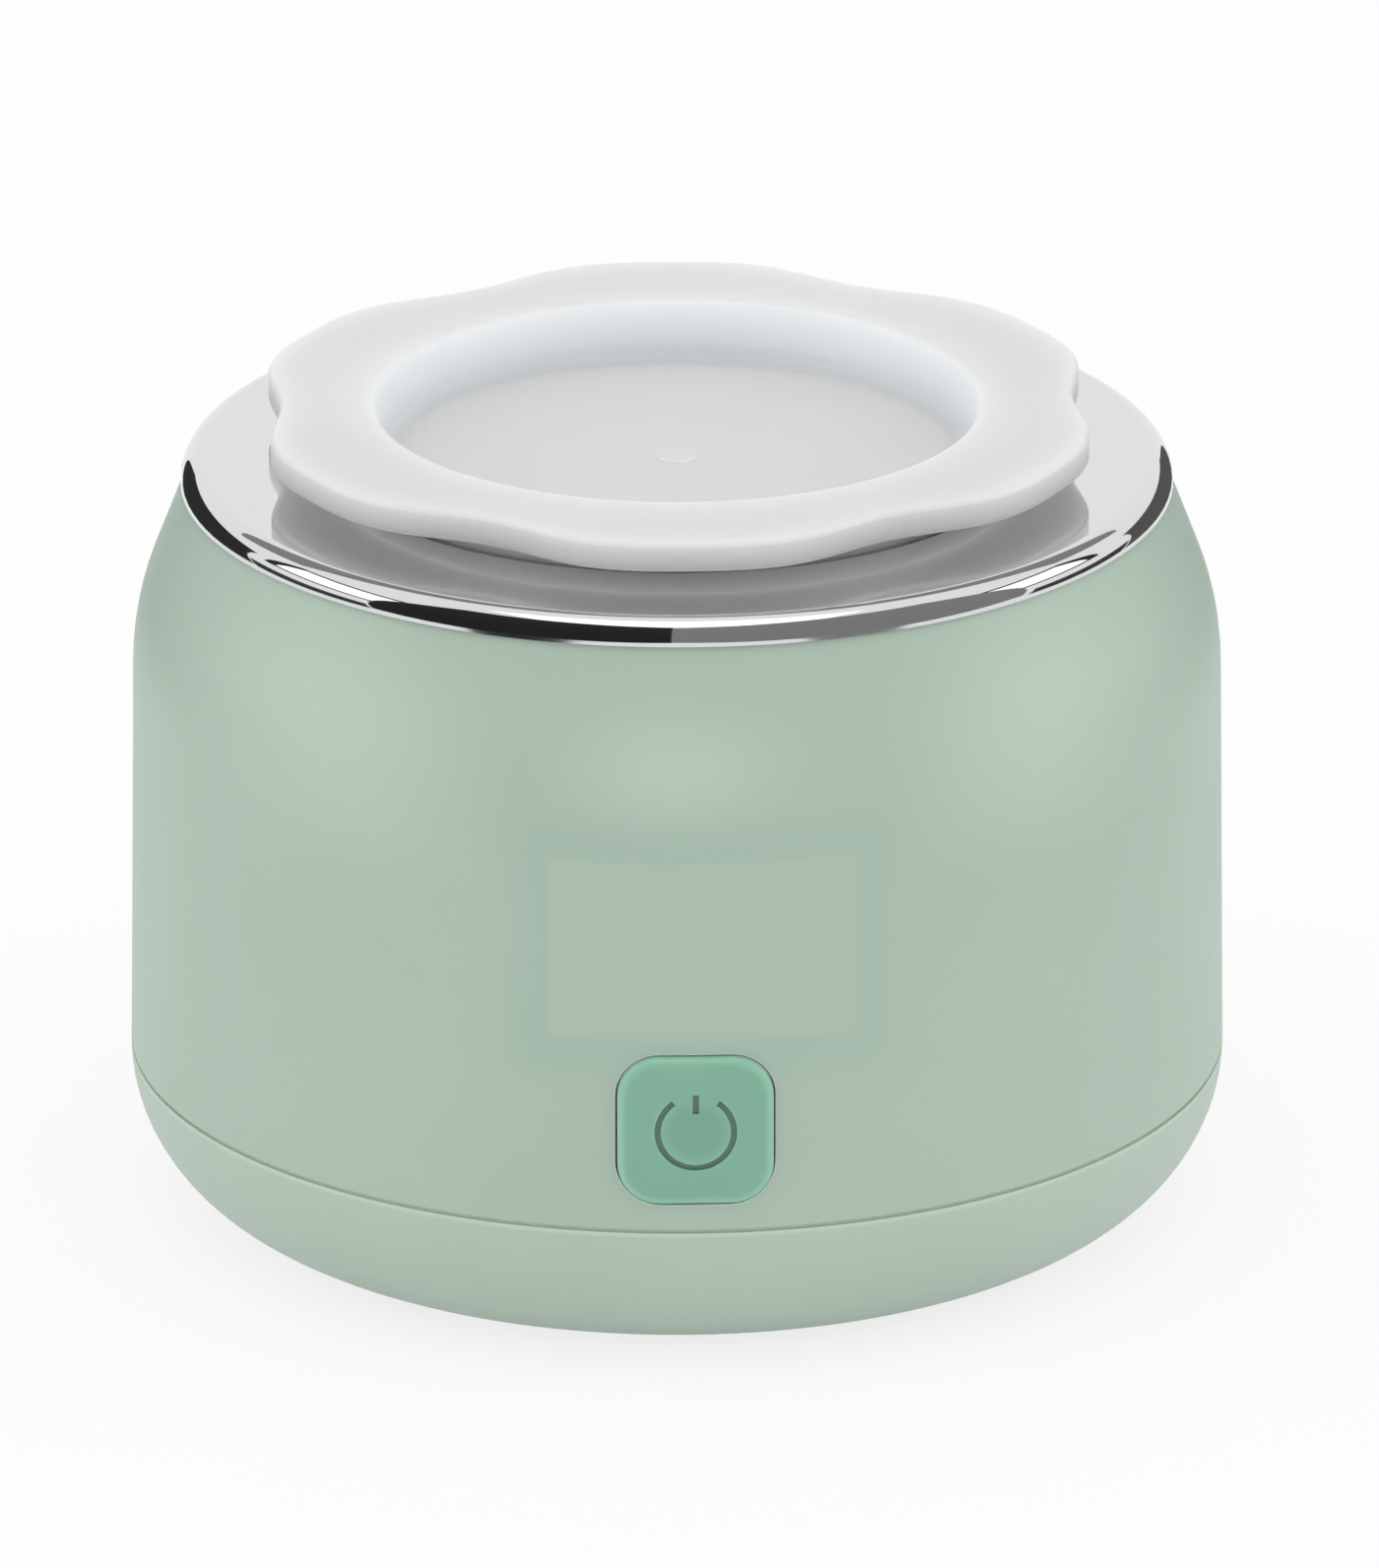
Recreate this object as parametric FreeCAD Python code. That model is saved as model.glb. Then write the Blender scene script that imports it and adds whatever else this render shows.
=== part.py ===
import FreeCAD, Part
import math
import os

from FreeCAD import Vector

# Portable milk warmer: a squat round body with a chrome ring round its mouth, a soft flower lid pushed
# into the mouth, a hidden display and one push button on the front.
# Millimetres, +Z up, origin on the table under the centre of the body, front towards -Y.

# Body, outside
BODY_RADIUS = 44.0          # at the seam between shell and base
WALL_DRAFT = 0.8            # degrees the shell leans in towards the top
WALL = 2.2                  # wall of shell and base
BASE_INSET = 8.8            # body radius less the radius of the flat underside
BASE_HEIGHT = 12.1          # flat underside to seam
BASE_FLOOR = 2.4
BASE_EDGE_ROUND = 1.0
SHELL_HEIGHT = 47.4         # seam to the seat of the chrome ring
SHOULDER_LEAN = 21.2        # degrees
SHOULDER_ROUND = 24.0
SHOULDER_INSET = 4.4        # body radius less the radius of the chrome ring
SEAM_GROOVE_HEIGHT = 0.35
SEAM_GROOVE_DEPTH = 0.3
SPIGOT_HEIGHT = 3.0
SPIGOT_WALL = 1.6
SPIGOT_CLEARANCE = 0.15
LEDGE = 2.0                 # inward ledge at the top of the shell

# Foot ring
FOOT_PROUD = 0.8
FOOT_GROOVE = 1.2
FOOT_WIDTH = 5.6
FOOT_CLEARANCE = 0.1
FOOT_EDGE_ROUND = 0.3

# Chrome ring
RING_HEIGHT = 2.1
RING_LIP = 0.3              # overhang past the shell
RING_ROUND = 1.8
RING_WIDTH = 11.6
RING_CLEARANCE = 0.2
RING_BORE_ROUND = 0.4
RING_BOSS_WALL = 1.5

# Neck collar and its thread
COLLAR_WALL = 1.6
COLLAR_RECESS = 0.4         # collar top below the ring top
COLLAR_FLANGE = 2.0
COLLAR_FLANGE_WIDTH = 5.2
COLLAR_FLANGE_GAP = 1.0     # upper flange to the shell wall
COLLAR_SEAL = 0.5
COLLAR_SEAL_WIDTH = 1.6
THREAD_PITCH = 4.5
THREAD_DEPTH = 1.2
THREAD_ROOT = 2.2
THREAD_CREST = 1.0
THREAD_BITE = 0.4           # how far the ridge is rooted in the wall
THREAD_MARGIN = 1.6

# Heated cup
SHEET = 0.6                 # pressed steel
CUP_SHOULDER = 4.2          # neck radius less the bore of the cup
CUP_DEPTH = 6.4
CUP_ROUND = 2.0
GASKET = 1.0
GASKET_GAP = 0.4
FLANGE_LAND = 4.0           # width of the flanges that the frame clamps
HEATER = 0.5
HEATER_MARGIN = 0.6
PAD = 1.2
PAD_MARGIN = 0.6
SHIELD_GAP = 0.6
LEAD_HOLE_RADIUS = 1.6
LEAD_OFFSET = 9.0
LEAD_RADIUS = 0.7
THERMISTOR_RADIUS = 1.8
THERMISTOR_HOLE_RADIUS = 2.1
THERMISTOR_LEAD_RADIUS = 0.4
THERMISTOR_LEAD_SPACING = 1.6
CUTOUT_SIZE = (9.0, 6.0, 2.5)
CUTOUT_X = -12.0

# Lid
LID_LIFT_HUB = 2.0          # flange underside above the chrome ring
LID_FLANGE = 2.6
LID_OVERHANG = 5.2          # mean flower radius past the bore of the ring
LID_LOBES = 6
LID_WAVE = 1.2
LID_NOTCH = 0.4             # narrows the hollows between the lobes
LID_EDGE_ROUND = 0.5
LID_HUB_CLEARANCE = 0.4     # hub to the bore of the ring
LID_PLUG_CLEARANCE = 0.4
LID_SKIRT = 6.6             # plug below the ring top
LID_SKIRT_WALL = 1.8
LID_FLOOR = 1.5
LID_DISH_DEPTH = 4.9
LID_DISH_MARGIN = 1.7       # plug radius less the dish radius at the rim
LID_DISH_DRAFT = 0.7
LID_DISH_ROUND = 1.6
LID_RIM_ROUND = 0.9
LID_RIB_CLEARANCE = 0.12
LID_RIB_HEIGHT = 0.8
LID_RIB_COUNT = 2
LID_GATE_RADIUS = 1.5
LID_GATE_HEIGHT = 0.15

# Battery
CELL_RADIUS = 9.2
CELL_LENGTH = 50.0
CELL_CLEARANCE = 0.1
CELL_EDGE_ROUND = 0.6
CRADLE_FLOOR = 1.2
CRADLE_HEIGHT = 6.0
CRADLE_LENGTH = 40.0
STRAP = 1.4
STRAP_WIDTH = 10.0
STRAP_FOOT = 1.5
EAR_RADIUS = 4.0
STRAP_BOSS_RADIUS = 3.4
EAR_RISE = 3.0              # strap boss above the base floor
TAB = 0.3
TAB_HEIGHT = 7.0

# Boards
BOARD = 1.6
BOARD_GAP = 1.6             # strap to main board
BOARD_EDGE = 2.8            # board past its screws
BOARD_POST = 10.4
BOARD_POST_RADIUS = 2.4
BOARD_POST_ANGLE = 30.0
TONGUE_WIDTH = 11.2
TONGUE_GAP = 2.6
CONNECTOR_SIZE = (14.0, 5.0, 2.4)
FRONT_CONNECTOR_DEPTH = 3.0
RIBBON_WIDTH = 10.0
RIBBON = 0.4
CHIP_SIZES = ((7.0, 7.0, 1.2), (5.0, 6.0, 1.6), (10.0, 10.0, 3.2), (4.0, 5.0, 1.5))
CHIP_PLACES = ((13.0, -5.5), (-14.0, 9.5), (14.5, 8.0), (-18.0, -9.0))

# Charging port
PORT_WIDTH = 8.9
PORT_HEIGHT = 3.2
PORT_LENGTH = 7.4
PORT_WALL = 0.3
PORT_BACK = 1.0             # closed back of the socket
PORT_FLAT = 0.06            # straight side left between the round corners
PORT_INSET = 1.0            # mouth below the outside of the shell
PORT_HOLE_GAP = 0.35
PORT_BLADE_WIDTH = 6.6
PORT_BLADE = 0.7
PORT_BLADE_LENGTH = 4.6

# Inner frame
FRAME_RING = 3.4
FRAME_CLEARANCE = 0.4
FRAME_PAD_RADIUS = 2.8
FRAME_EDGE = 0.4            # pads and legs inside the rim of the frame
LEG_RADIUS = 3.2
LEG_ANGLE = 65.0
LEG_BOSS_RADIUS = 4.2
LEG_BOSS_RISE = 4.8         # base boss above the base floor

# Display and button
DISPLAY_WIDTH = 24.0
DISPLAY_HEIGHT = 14.6
DISPLAY_DEPTH = 3.4
DISPLAY_RISE = 23.5         # display centre above the seam
DISPLAY_FIT = 0.2
DISPLAY_WALL_GAP = 0.9
BAFFLE_BORDER = 2.9
BAFFLE_DEPTH = 2.6
FRONT_BOARD = 1.2
FRONT_BOARD_EDGE = 1.4
FRONT_BOARD_GAP = 0.6       # front board to the frame and the collar
FRONT_BOARD_FOOT = 5.0      # board below the button centre
FRONT_POST_RADIUS = 2.3
FRONT_POST_DROP = 1.5       # front board screws below the button centre
BUTTON_SIZE = 12.3
BUTTON_CORNER = 3.4
BUTTON_RISE = 8.7           # button centre above the seam
BUTTON_PROUD = 0.6
BUTTON_GAP = 0.15
BUTTON_TRAVEL = 0.5
BUTTON_BEVEL = 0.7
BUTTON_DISH_RADIUS = 60.0
BUTTON_DISH_DEPTH = 0.18
BUTTON_FLANGE = 1.2
BUTTON_FLANGE_WIDTH = 1.3
BUTTON_FLANGE_GAP = 0.1
BUTTON_STEM_RADIUS = 2.0
BUTTON_PAD_MARGIN = 1.0
MARK_RADIUS = 3.0
MARK_LINE = 0.5
MARK_DEPTH = 0.25
MARK_OPENING = 36.0         # degrees either side of the top
MARK_BAR_LOW = 1.5
MARK_BAR_HIGH = 3.1
SWITCH_SIZE = 6.0
SWITCH_BODY = 2.2
PLUNGER_RADIUS = 1.7
PLUNGER_PROUD = 0.9
PLUNGER_SINK = 0.9          # plunger length inside the switch
PLUNGER_GAP = 0.06

# Screws: shank radius, head radius, head height
LARGE_SCREW = (1.4, 2.8, 1.8)
SMALL_SCREW = (1.1, 2.1, 1.4)
SCREW_HOLE_GAP = 0.2
SCREW_BITE_GAP = 0.03
SCREW_SLOT = 0.5
SCREW_SLOT_REACH = 1.2      # slot length over head radius
SCREW_END_GAP = 0.4
LARGE_SCREW_BITE = 9.0
NECK_SCREW_BITE = 3.0
FRAME_SCREW_BITE = 5.0
SMALL_SCREW_BITE = 4.0
BASE_SCREW_WEB = 3.0        # base boss left above the screw head

# Radii that follow from the body
ring_radius = BODY_RADIUS - SHOULDER_INSET
seat_radius = ring_radius - RING_LIP
flat_radius = BODY_RADIUS - BASE_INSET
bore_radius = ring_radius - RING_WIDTH
collar_radius = bore_radius - RING_CLEARANCE
neck_radius = collar_radius - COLLAR_WALL
flange_radius = collar_radius + COLLAR_FLANGE_WIDTH
cup_bore = neck_radius - CUP_SHOULDER
cup_radius = cup_bore + SHEET
land_radius = cup_radius + FLANGE_LAND
shield_bore = cup_radius + SHIELD_GAP
shield_radius = shield_bore + SHEET
frame_bore = shield_radius + FRAME_CLEARANCE
leg_circle = flange_radius - LEG_RADIUS - FRAME_EDGE
frame_screw_circle = flange_radius - FRAME_PAD_RADIUS - FRAME_EDGE
heater_radius = cup_radius - CUP_ROUND - HEATER_MARGIN
pad_radius = shield_bore - CUP_ROUND - PAD_MARGIN
plug_radius = neck_radius - LID_PLUG_CLEARANCE
foot_inner = leg_circle - FOOT_WIDTH / 2
foot_outer = leg_circle + FOOT_WIDTH / 2

# Levels from the table up
underside = FOOT_PROUD
floor_top = underside + BASE_FLOOR
seam = underside + BASE_HEIGHT
cell_level = floor_top + CRADLE_FLOOR + CELL_CLEARANCE + CELL_RADIUS
cell_pitch = CELL_RADIUS + CELL_CLEARANCE
strap_top = cell_level + cell_pitch + STRAP
board_low = strap_top + BOARD_GAP
board_top = board_low + BOARD
frame_low = board_top + BOARD_POST
frame_top = frame_low + FRAME_RING
cup_flange_low = frame_top + SHEET
gasket_low = cup_flange_low + SHEET
collar_low = gasket_low + GASKET
cup_floor_low = gasket_low - CUP_DEPTH
heater_low = cup_floor_low - HEATER
insulation_low = heater_low - PAD
shield_floor_low = insulation_low - SHEET
leg_foot = floor_top + LEG_BOSS_RISE
base_screw_seat = leg_foot - BASE_SCREW_WEB

# Levels from the top down
seat = seam + SHELL_HEIGHT
ring_top = seat + RING_HEIGHT
ledge_low = seat - LEDGE
upper_flange_top = ledge_low - COLLAR_SEAL
upper_flange_low = upper_flange_top - COLLAR_FLANGE
collar_top = ring_top - COLLAR_RECESS
lid_flange_low = ring_top + LID_LIFT_HUB
lid_top = lid_flange_low + LID_FLANGE
lid_dish_floor = lid_top - LID_DISH_DEPTH
lid_skirt_low = ring_top - LID_SKIRT

draft_slope = math.tan(math.radians(WALL_DRAFT))
lean_slope = math.tan(math.radians(SHOULDER_LEAN))
lean_wall = WALL / math.cos(math.radians(SHOULDER_LEAN))


def wall_radius(z):
    """Outer radius of the shell at a height, before the shoulder is rounded."""
    return min(BODY_RADIUS - draft_slope * (z - seam), seat_radius + lean_slope * (seat - z))


def inner_radius(z):
    """Inner radius of the shell at a height, before the shoulder is rounded."""
    on_wall = BODY_RADIUS - WALL - draft_slope * (z - seam)
    on_shoulder = seat_radius - lean_wall + lean_slope * (seat - z)
    return min(on_wall, on_shoulder)


def shoulder_corner(inset, lean_inset):
    """Where the drafted wall line and the shoulder line of one face of the shell cross."""
    wall_at_seat = BODY_RADIUS - inset - draft_slope * SHELL_HEIGHT
    drop = (wall_at_seat - (seat_radius - lean_inset)) / (lean_slope - draft_slope)
    return (seat_radius - lean_inset + lean_slope * drop, seat - drop)


def polar(radius, degrees):
    """A point on a circle about the Z axis, as x and y."""
    angle = math.radians(degrees)
    return (radius * math.cos(angle), radius * math.sin(angle))


class Outline:
    """A closed outline in the X-Z half plane, drawn point by point and turned about Z."""

    def __init__(self, r, z):
        self.first = Vector(r, 0, z)
        self.pen = self.first
        self.edges = []

    def line(self, r, z):
        end = Vector(r, 0, z)
        self.edges.append(Part.makeLine(self.pen, end))
        self.pen = end
        return self

    def arc(self, through, end):
        middle = Vector(through[0], 0, through[1])
        finish = Vector(end[0], 0, end[1])
        self.edges.append(Part.Arc(self.pen, middle, finish).toShape())
        self.pen = finish
        return self

    def corner(self, corner, after, radius):
        """A line towards a corner that is rounded on the way to the point after it."""
        tip = Vector(corner[0], 0, corner[1])
        back = (self.pen - tip).normalize()
        onward = (Vector(after[0], 0, after[1]) - tip).normalize()
        half = math.acos(max(-1.0, min(1.0, back.dot(onward)))) / 2
        start = tip + back * (radius / math.tan(half))
        finish = tip + onward * (radius / math.tan(half))
        centre = tip + (back + onward).normalize() * (radius / math.sin(half))
        middle = centre + (tip - centre).normalize() * radius
        self.line(start.x, start.z)
        return self.arc((middle.x, middle.z), (finish.x, finish.z))

    def turned(self):
        self.line(self.first.x, self.first.z)
        face = Part.Face(Part.Wire(self.edges))
        return face.revolve(Vector(0, 0, 0), Vector(0, 0, 1), 360)


def disc(radius, low, high, x=0.0, y=0.0):
    """An upright cylinder between two levels."""
    return Part.makeCylinder(radius, high - low, Vector(x, y, low))


def ring(inner, outer, low, high, x=0.0, y=0.0):
    """An upright tube between two levels."""
    return disc(outer, low, high, x, y).cut(disc(inner, low, high, x, y))


def rod(radius, x, z, back, front):
    """A cylinder along Y between two depths."""
    return Part.makeCylinder(radius, front - back, Vector(x, back, z), Vector(0, 1, 0))


def block(x_low, x_high, y_low, y_high, z_low, z_high):
    """A box between its corner values."""
    size = (x_high - x_low, y_high - y_low, z_high - z_low)
    return Part.makeBox(*size, Vector(x_low, y_low, z_low))


def centred_block(size, x, y, low):
    """A box of a given size that stands on a level."""
    return block(x - size[0] / 2, x + size[0] / 2, y - size[1] / 2, y + size[1] / 2, low, low + size[2])


def rounded_bar(width, height, corner, x, z, back, front):
    """A bar along Y whose section is a rounded rectangle."""
    bar = block(x - width / 2, x + width / 2, back, front, z - height / 2, z + height / 2)
    long_edges = [edge for edge in bar.Edges if abs(edge.BoundBox.YLength - (front - back)) < 1e-6]
    return bar.makeFillet(corner, long_edges)


def joined(shape, *others):
    """One solid from several that touch or overlap, without the seams between their faces."""
    return shape.fuse(list(others)).removeSplitter()


def four_ways(first_angle, radius):
    """Four points on a circle, a quarter turn apart."""
    return [polar(radius, first_angle + 90 * turn) for turn in range(4)]


def mirrored_four(radius, angle):
    """Four points on a circle, mirrored about both the X and the Y axis."""
    x, y = polar(radius, angle)
    return [(x, y), (-x, y), (-x, -y), (x, -y)]


def pilot(sizes, bite, x, y, level, way):
    """The blind hole that a screw bites into, up (1) or down (-1) from a level."""
    end = level + way * (bite + SCREW_END_GAP)
    return disc(sizes[0] + SCREW_BITE_GAP, min(level, end), max(level, end), x, y)


def screw(sizes, length):
    """A cross-slotted screw whose head sits on the origin, with its shank along +Z."""
    shank_radius, head_radius, head_height = sizes
    head = disc(head_radius, -head_height, 0)
    shank = disc(shank_radius, 0, length)
    arm = head_radius * SCREW_SLOT_REACH
    slots = [centred_block((arm, SCREW_SLOT, head_height / 2), 0, 0, -head_height)]
    slots.append(centred_block((SCREW_SLOT, arm, head_height / 2), 0, 0, -head_height))
    return joined(head, shank).cut(slots)


def screw_up(sizes, length, x, y, level):
    """A screw driven upwards, with its head under a level."""
    return screw(sizes, length).translated(Vector(x, y, level))


def screw_down(sizes, length, x, y, level):
    """A screw driven downwards, with its head on a level."""
    turned = screw(sizes, length).rotated(Vector(0, 0, 0), Vector(1, 0, 0), 180)
    return turned.translated(Vector(x, y, level))


def screw_back(sizes, length, x, z, depth):
    """A screw driven from the front towards +Y, with its head on a depth."""
    turned = screw(sizes, length).rotated(Vector(0, 0, 0), Vector(1, 0, 0), -90)
    return turned.translated(Vector(x, depth, z))


def save(name, *solids):
    """Writes one named piece, or a group of alike pieces."""
    shape = solids[0] if len(solids) == 1 else Part.makeCompound(list(solids))
    shape.exportStep(os.path.join("parts", name + ".step"))


# Places that several pieces share
legs = mirrored_four(leg_circle, LEG_ANGLE)
front_legs = [place for place in legs if place[1] < 0]
frame_screw_places = four_ways(0, frame_screw_circle)
board_posts = mirrored_four(leg_circle, BOARD_POST_ANGLE)
heater_lead_places = (-LEAD_OFFSET, LEAD_OFFSET)
board_half_length = max(x for x, y in board_posts) + BOARD_EDGE
board_half_width = max(y for x, y in board_posts) + BOARD_EDGE
ledge_inner = inner_radius(upper_flange_top)
neck_screw_circle = (collar_radius + ledge_inner) / 2
neck_screw_places = four_ways(45, neck_screw_circle)
ring_boss_radius = SMALL_SCREW[0] + RING_BOSS_WALL
strap_ear_y = 2 * cell_pitch + STRAP + EAR_RADIUS
strap_ears = [(0.0, strap_ear_y), (0.0, -strap_ear_y)]
strap_boss_top = floor_top + EAR_RISE
ear_top = floor_top + CRADLE_HEIGHT

button_level = seam + BUTTON_RISE
button_half = BUTTON_SIZE / 2
flange_half = button_half + BUTTON_FLANGE_WIDTH
pad_half = flange_half + BUTTON_PAD_MARGIN
button_face = -(wall_radius(button_level) + BUTTON_PROUD)
shell_at_pad = inner_radius(button_level + pad_half)
pad_face = -(math.sqrt(shell_at_pad ** 2 - pad_half ** 2) - BUTTON_FLANGE_GAP)
button_flange_front = pad_face + BUTTON_FLANGE_GAP
button_flange_back = button_flange_front + BUTTON_FLANGE

display_level = seam + DISPLAY_RISE
baffle_half_width = DISPLAY_WIDTH / 2 + BAFFLE_BORDER
baffle_half_height = DISPLAY_HEIGHT / 2 + BAFFLE_BORDER
shell_at_baffle = inner_radius(display_level + baffle_half_height)
baffle_front = -(math.sqrt(shell_at_baffle ** 2 - baffle_half_width ** 2) - DISPLAY_WALL_GAP)
front_board_face = baffle_front + BAFFLE_DEPTH
front_board_back = front_board_face + FRONT_BOARD
front_board_half = baffle_half_width + FRONT_BOARD_EDGE
front_post_level = button_level - FRONT_POST_DROP
switch_front = front_board_face - SWITCH_BODY
plunger_front = switch_front - PLUNGER_PROUD
port_level = board_top + PORT_HEIGHT / 2
port_mouth = wall_radius(port_level) - PORT_INSET
ribbon_level = board_top + CONNECTOR_SIZE[2] / 2


def shell_profile():
    """The shell as turned: drafted wall, rounded shoulder, and an inward ledge under the chrome ring."""
    outer_corner = shoulder_corner(0.0, 0.0)
    inner_corner = shoulder_corner(WALL, lean_wall)
    ledge_meets_wall = seat_radius - lean_wall + lean_slope * LEDGE
    outline = Outline(BODY_RADIUS - WALL, seam)
    outline.line(BODY_RADIUS - SEAM_GROOVE_DEPTH, seam)
    outline.line(BODY_RADIUS - SEAM_GROOVE_DEPTH, seam + SEAM_GROOVE_HEIGHT)
    outline.line(wall_radius(seam + SEAM_GROOVE_HEIGHT), seam + SEAM_GROOVE_HEIGHT)
    outline.corner(outer_corner, (seat_radius, seat), SHOULDER_ROUND)
    outline.line(seat_radius, seat)
    outline.line(bore_radius, seat)
    outline.line(bore_radius, ledge_low)
    outline.line(ledge_meets_wall, ledge_low)
    outline.corner(inner_corner, (BODY_RADIUS - WALL, seam), SHOULDER_ROUND - WALL)
    return outline.turned()


def socket_bar(margin, back, front):
    """A bar along Y with the flat-sided oval section of the charging socket, grown by a margin."""
    height = PORT_HEIGHT + 2 * margin
    corner = (height - PORT_FLAT) / 2
    return rounded_bar(PORT_WIDTH + 2 * margin, height, corner, 0, port_level, back, front)


def outer_shell():
    """The shell with its button window, charging hole and the holes for the bosses of the chrome ring."""
    wall_inside = -inner_radius(button_level)
    pad = block(-pad_half, pad_half, wall_inside - WALL / 4, pad_face,
                button_level - pad_half, button_level + pad_half)
    pad = pad.common(disc(BODY_RADIUS - WALL / 2, seam + SEAM_GROOVE_HEIGHT, seat))
    window_size = BUTTON_SIZE + 2 * BUTTON_GAP
    window = rounded_bar(window_size, window_size, BUTTON_CORNER + BUTTON_GAP, 0, button_level,
                         -BODY_RADIUS - BUTTON_PROUD, 0)
    port_hole = socket_bar(PORT_HOLE_GAP, inner_radius(port_level) - WALL, BODY_RADIUS + WALL)
    boss_hole = ring_boss_radius + SCREW_HOLE_GAP
    boss_holes = [disc(boss_hole, ledge_low, seat, x, y) for x, y in neck_screw_places]
    return joined(shell_profile(), pad).cut([window, port_hole] + boss_holes)


def base_cover():
    """The bowl-shaped base: spigot inside the shell, foot groove, and bosses for the legs and the strap."""
    bend = (BASE_INSET ** 2 + BASE_HEIGHT ** 2) / (2 * BASE_INSET)
    inner_bend = bend - WALL
    centre = BODY_RADIUS - bend
    spigot_outer = BODY_RADIUS - WALL - SPIGOT_CLEARANCE - draft_slope * SPIGOT_HEIGHT
    spigot_inner = spigot_outer - SPIGOT_WALL
    flat_turn = math.acos((flat_radius - centre) / bend)
    wall_turn = math.acos((spigot_inner - centre) / inner_bend)
    floor_turn = math.asin((seam - floor_top) / inner_bend)

    def on_bend(radius, turn):
        return (centre + radius * math.cos(turn), seam - radius * math.sin(turn))

    outline = Outline(0, underside)
    outline.line(flat_radius, underside)
    outline.arc(on_bend(bend, flat_turn / 2), (BODY_RADIUS, seam))
    outline.line(spigot_outer, seam)
    outline.line(spigot_outer, seam + SPIGOT_HEIGHT)
    outline.line(spigot_inner, seam + SPIGOT_HEIGHT)
    outline.line(*on_bend(inner_bend, wall_turn))
    outline.arc(on_bend(inner_bend, (wall_turn + floor_turn) / 2), on_bend(inner_bend, floor_turn))
    outline.line(0, floor_top)
    bowl = outline.turned()
    rim = [edge for edge in bowl.Edges if abs(edge.BoundBox.ZMax - underside) < 1e-6 and edge.Closed]
    bowl = bowl.makeFillet(BASE_EDGE_ROUND, rim)

    notch_half = pad_half + BUTTON_PAD_MARGIN
    notch = block(-notch_half, notch_half, -BODY_RADIUS, -leg_circle, seam, seam + SPIGOT_HEIGHT)
    boss_root = floor_top - BASE_FLOOR / 4
    leg_bosses = [disc(LEG_BOSS_RADIUS, boss_root, leg_foot, x, y) for x, y in legs]
    ear_bosses = [disc(STRAP_BOSS_RADIUS, boss_root, strap_boss_top, x, y) for x, y in strap_ears]
    cover = joined(bowl.cut(notch), *leg_bosses, *ear_bosses)

    cuts = [ring(foot_inner, foot_outer, underside, underside + FOOT_GROOVE)]
    for x, y in legs:
        cuts.append(disc(LARGE_SCREW[1] + SCREW_HOLE_GAP, underside, base_screw_seat, x, y))
        cuts.append(disc(LARGE_SCREW[0] + SCREW_HOLE_GAP, base_screw_seat, leg_foot, x, y))
    for x, y in strap_ears:
        cuts.append(pilot(SMALL_SCREW, SMALL_SCREW_BITE, x, y, strap_boss_top, -1))
    return cover.cut(cuts)


def foot_ring():
    """A soft ring glued into the groove of the base, which it stands proud of and hides the screws with."""
    foot = ring(foot_inner + FOOT_CLEARANCE, foot_outer - FOOT_CLEARANCE, 0, underside + FOOT_GROOVE)
    standing_edges = [edge for edge in foot.Edges if edge.BoundBox.ZMax < 1e-6]
    return foot.makeFillet(FOOT_EDGE_ROUND, standing_edges)


def chrome_ring():
    """The plated ring round the mouth, with four bosses that reach down through the ledge of the shell."""
    outline = Outline(bore_radius, seat)
    outline.line(ring_radius, seat)
    outline.corner((ring_radius, ring_top), (bore_radius, ring_top), RING_ROUND)
    outline.corner((bore_radius, ring_top), (bore_radius, seat), RING_BORE_ROUND)
    bosses = [disc(ring_boss_radius, upper_flange_top, seat + RING_HEIGHT / 4, x, y)
              for x, y in neck_screw_places]
    bores = [pilot(SMALL_SCREW, NECK_SCREW_BITE, x, y, upper_flange_top, 1) for x, y in neck_screw_places]
    return joined(outline.turned(), *bosses).cut(bores)


def thread_ridge():
    """The ridge of the neck thread, rooted in the wall of the collar and run up it as a helix."""
    low = collar_low + THREAD_MARGIN + THREAD_ROOT / 2
    high = lid_skirt_low - THREAD_MARGIN - THREAD_ROOT / 2
    root = neck_radius + THREAD_BITE
    crest = neck_radius - THREAD_DEPTH
    helix = Part.makeHelix(THREAD_PITCH, high - low, neck_radius).translated(Vector(0, 0, low))
    corners = [Vector(root, 0, low - THREAD_ROOT / 2), Vector(crest, 0, low - THREAD_CREST / 2)]
    corners += [Vector(crest, 0, low + THREAD_CREST / 2), Vector(root, 0, low + THREAD_ROOT / 2)]
    section = Part.makePolygon(corners + corners[:1])
    return Part.Wire(helix.Edges).makePipeShell([section], True, True)


def neck_collar():
    """The threaded neck: a tube with one flange under the ledge of the shell and one on the gasket."""
    tube = ring(neck_radius, collar_radius, collar_low, collar_top)
    upper = ring(neck_radius, ledge_inner - COLLAR_FLANGE_GAP, upper_flange_low, upper_flange_top)
    lower = ring(neck_radius, flange_radius, collar_low, collar_low + COLLAR_FLANGE)
    boss_top = collar_low + FRAME_SCREW_BITE + COLLAR_FLANGE
    bosses = [disc(FRAME_PAD_RADIUS, collar_low, boss_top, x, y) for x, y in frame_screw_places]
    cuts = [front_flat()]
    for x, y in frame_screw_places:
        cuts.append(pilot(SMALL_SCREW, FRAME_SCREW_BITE, x, y, collar_low, 1))
    for x, y in neck_screw_places:
        cuts.append(disc(SMALL_SCREW[0] + SCREW_HOLE_GAP, upper_flange_low, upper_flange_top, x, y))
    plain = joined(tube, upper, lower, *bosses).cut(cuts)
    return joined(plain, thread_ridge())


def front_flat():
    """The space that the frame and the lower flange of the collar leave free for the front board."""
    return block(-BODY_RADIUS, BODY_RADIUS, -BODY_RADIUS, front_board_back + FRONT_BOARD_GAP,
                 frame_low, collar_low + COLLAR_FLANGE + FRAME_SCREW_BITE)


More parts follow.
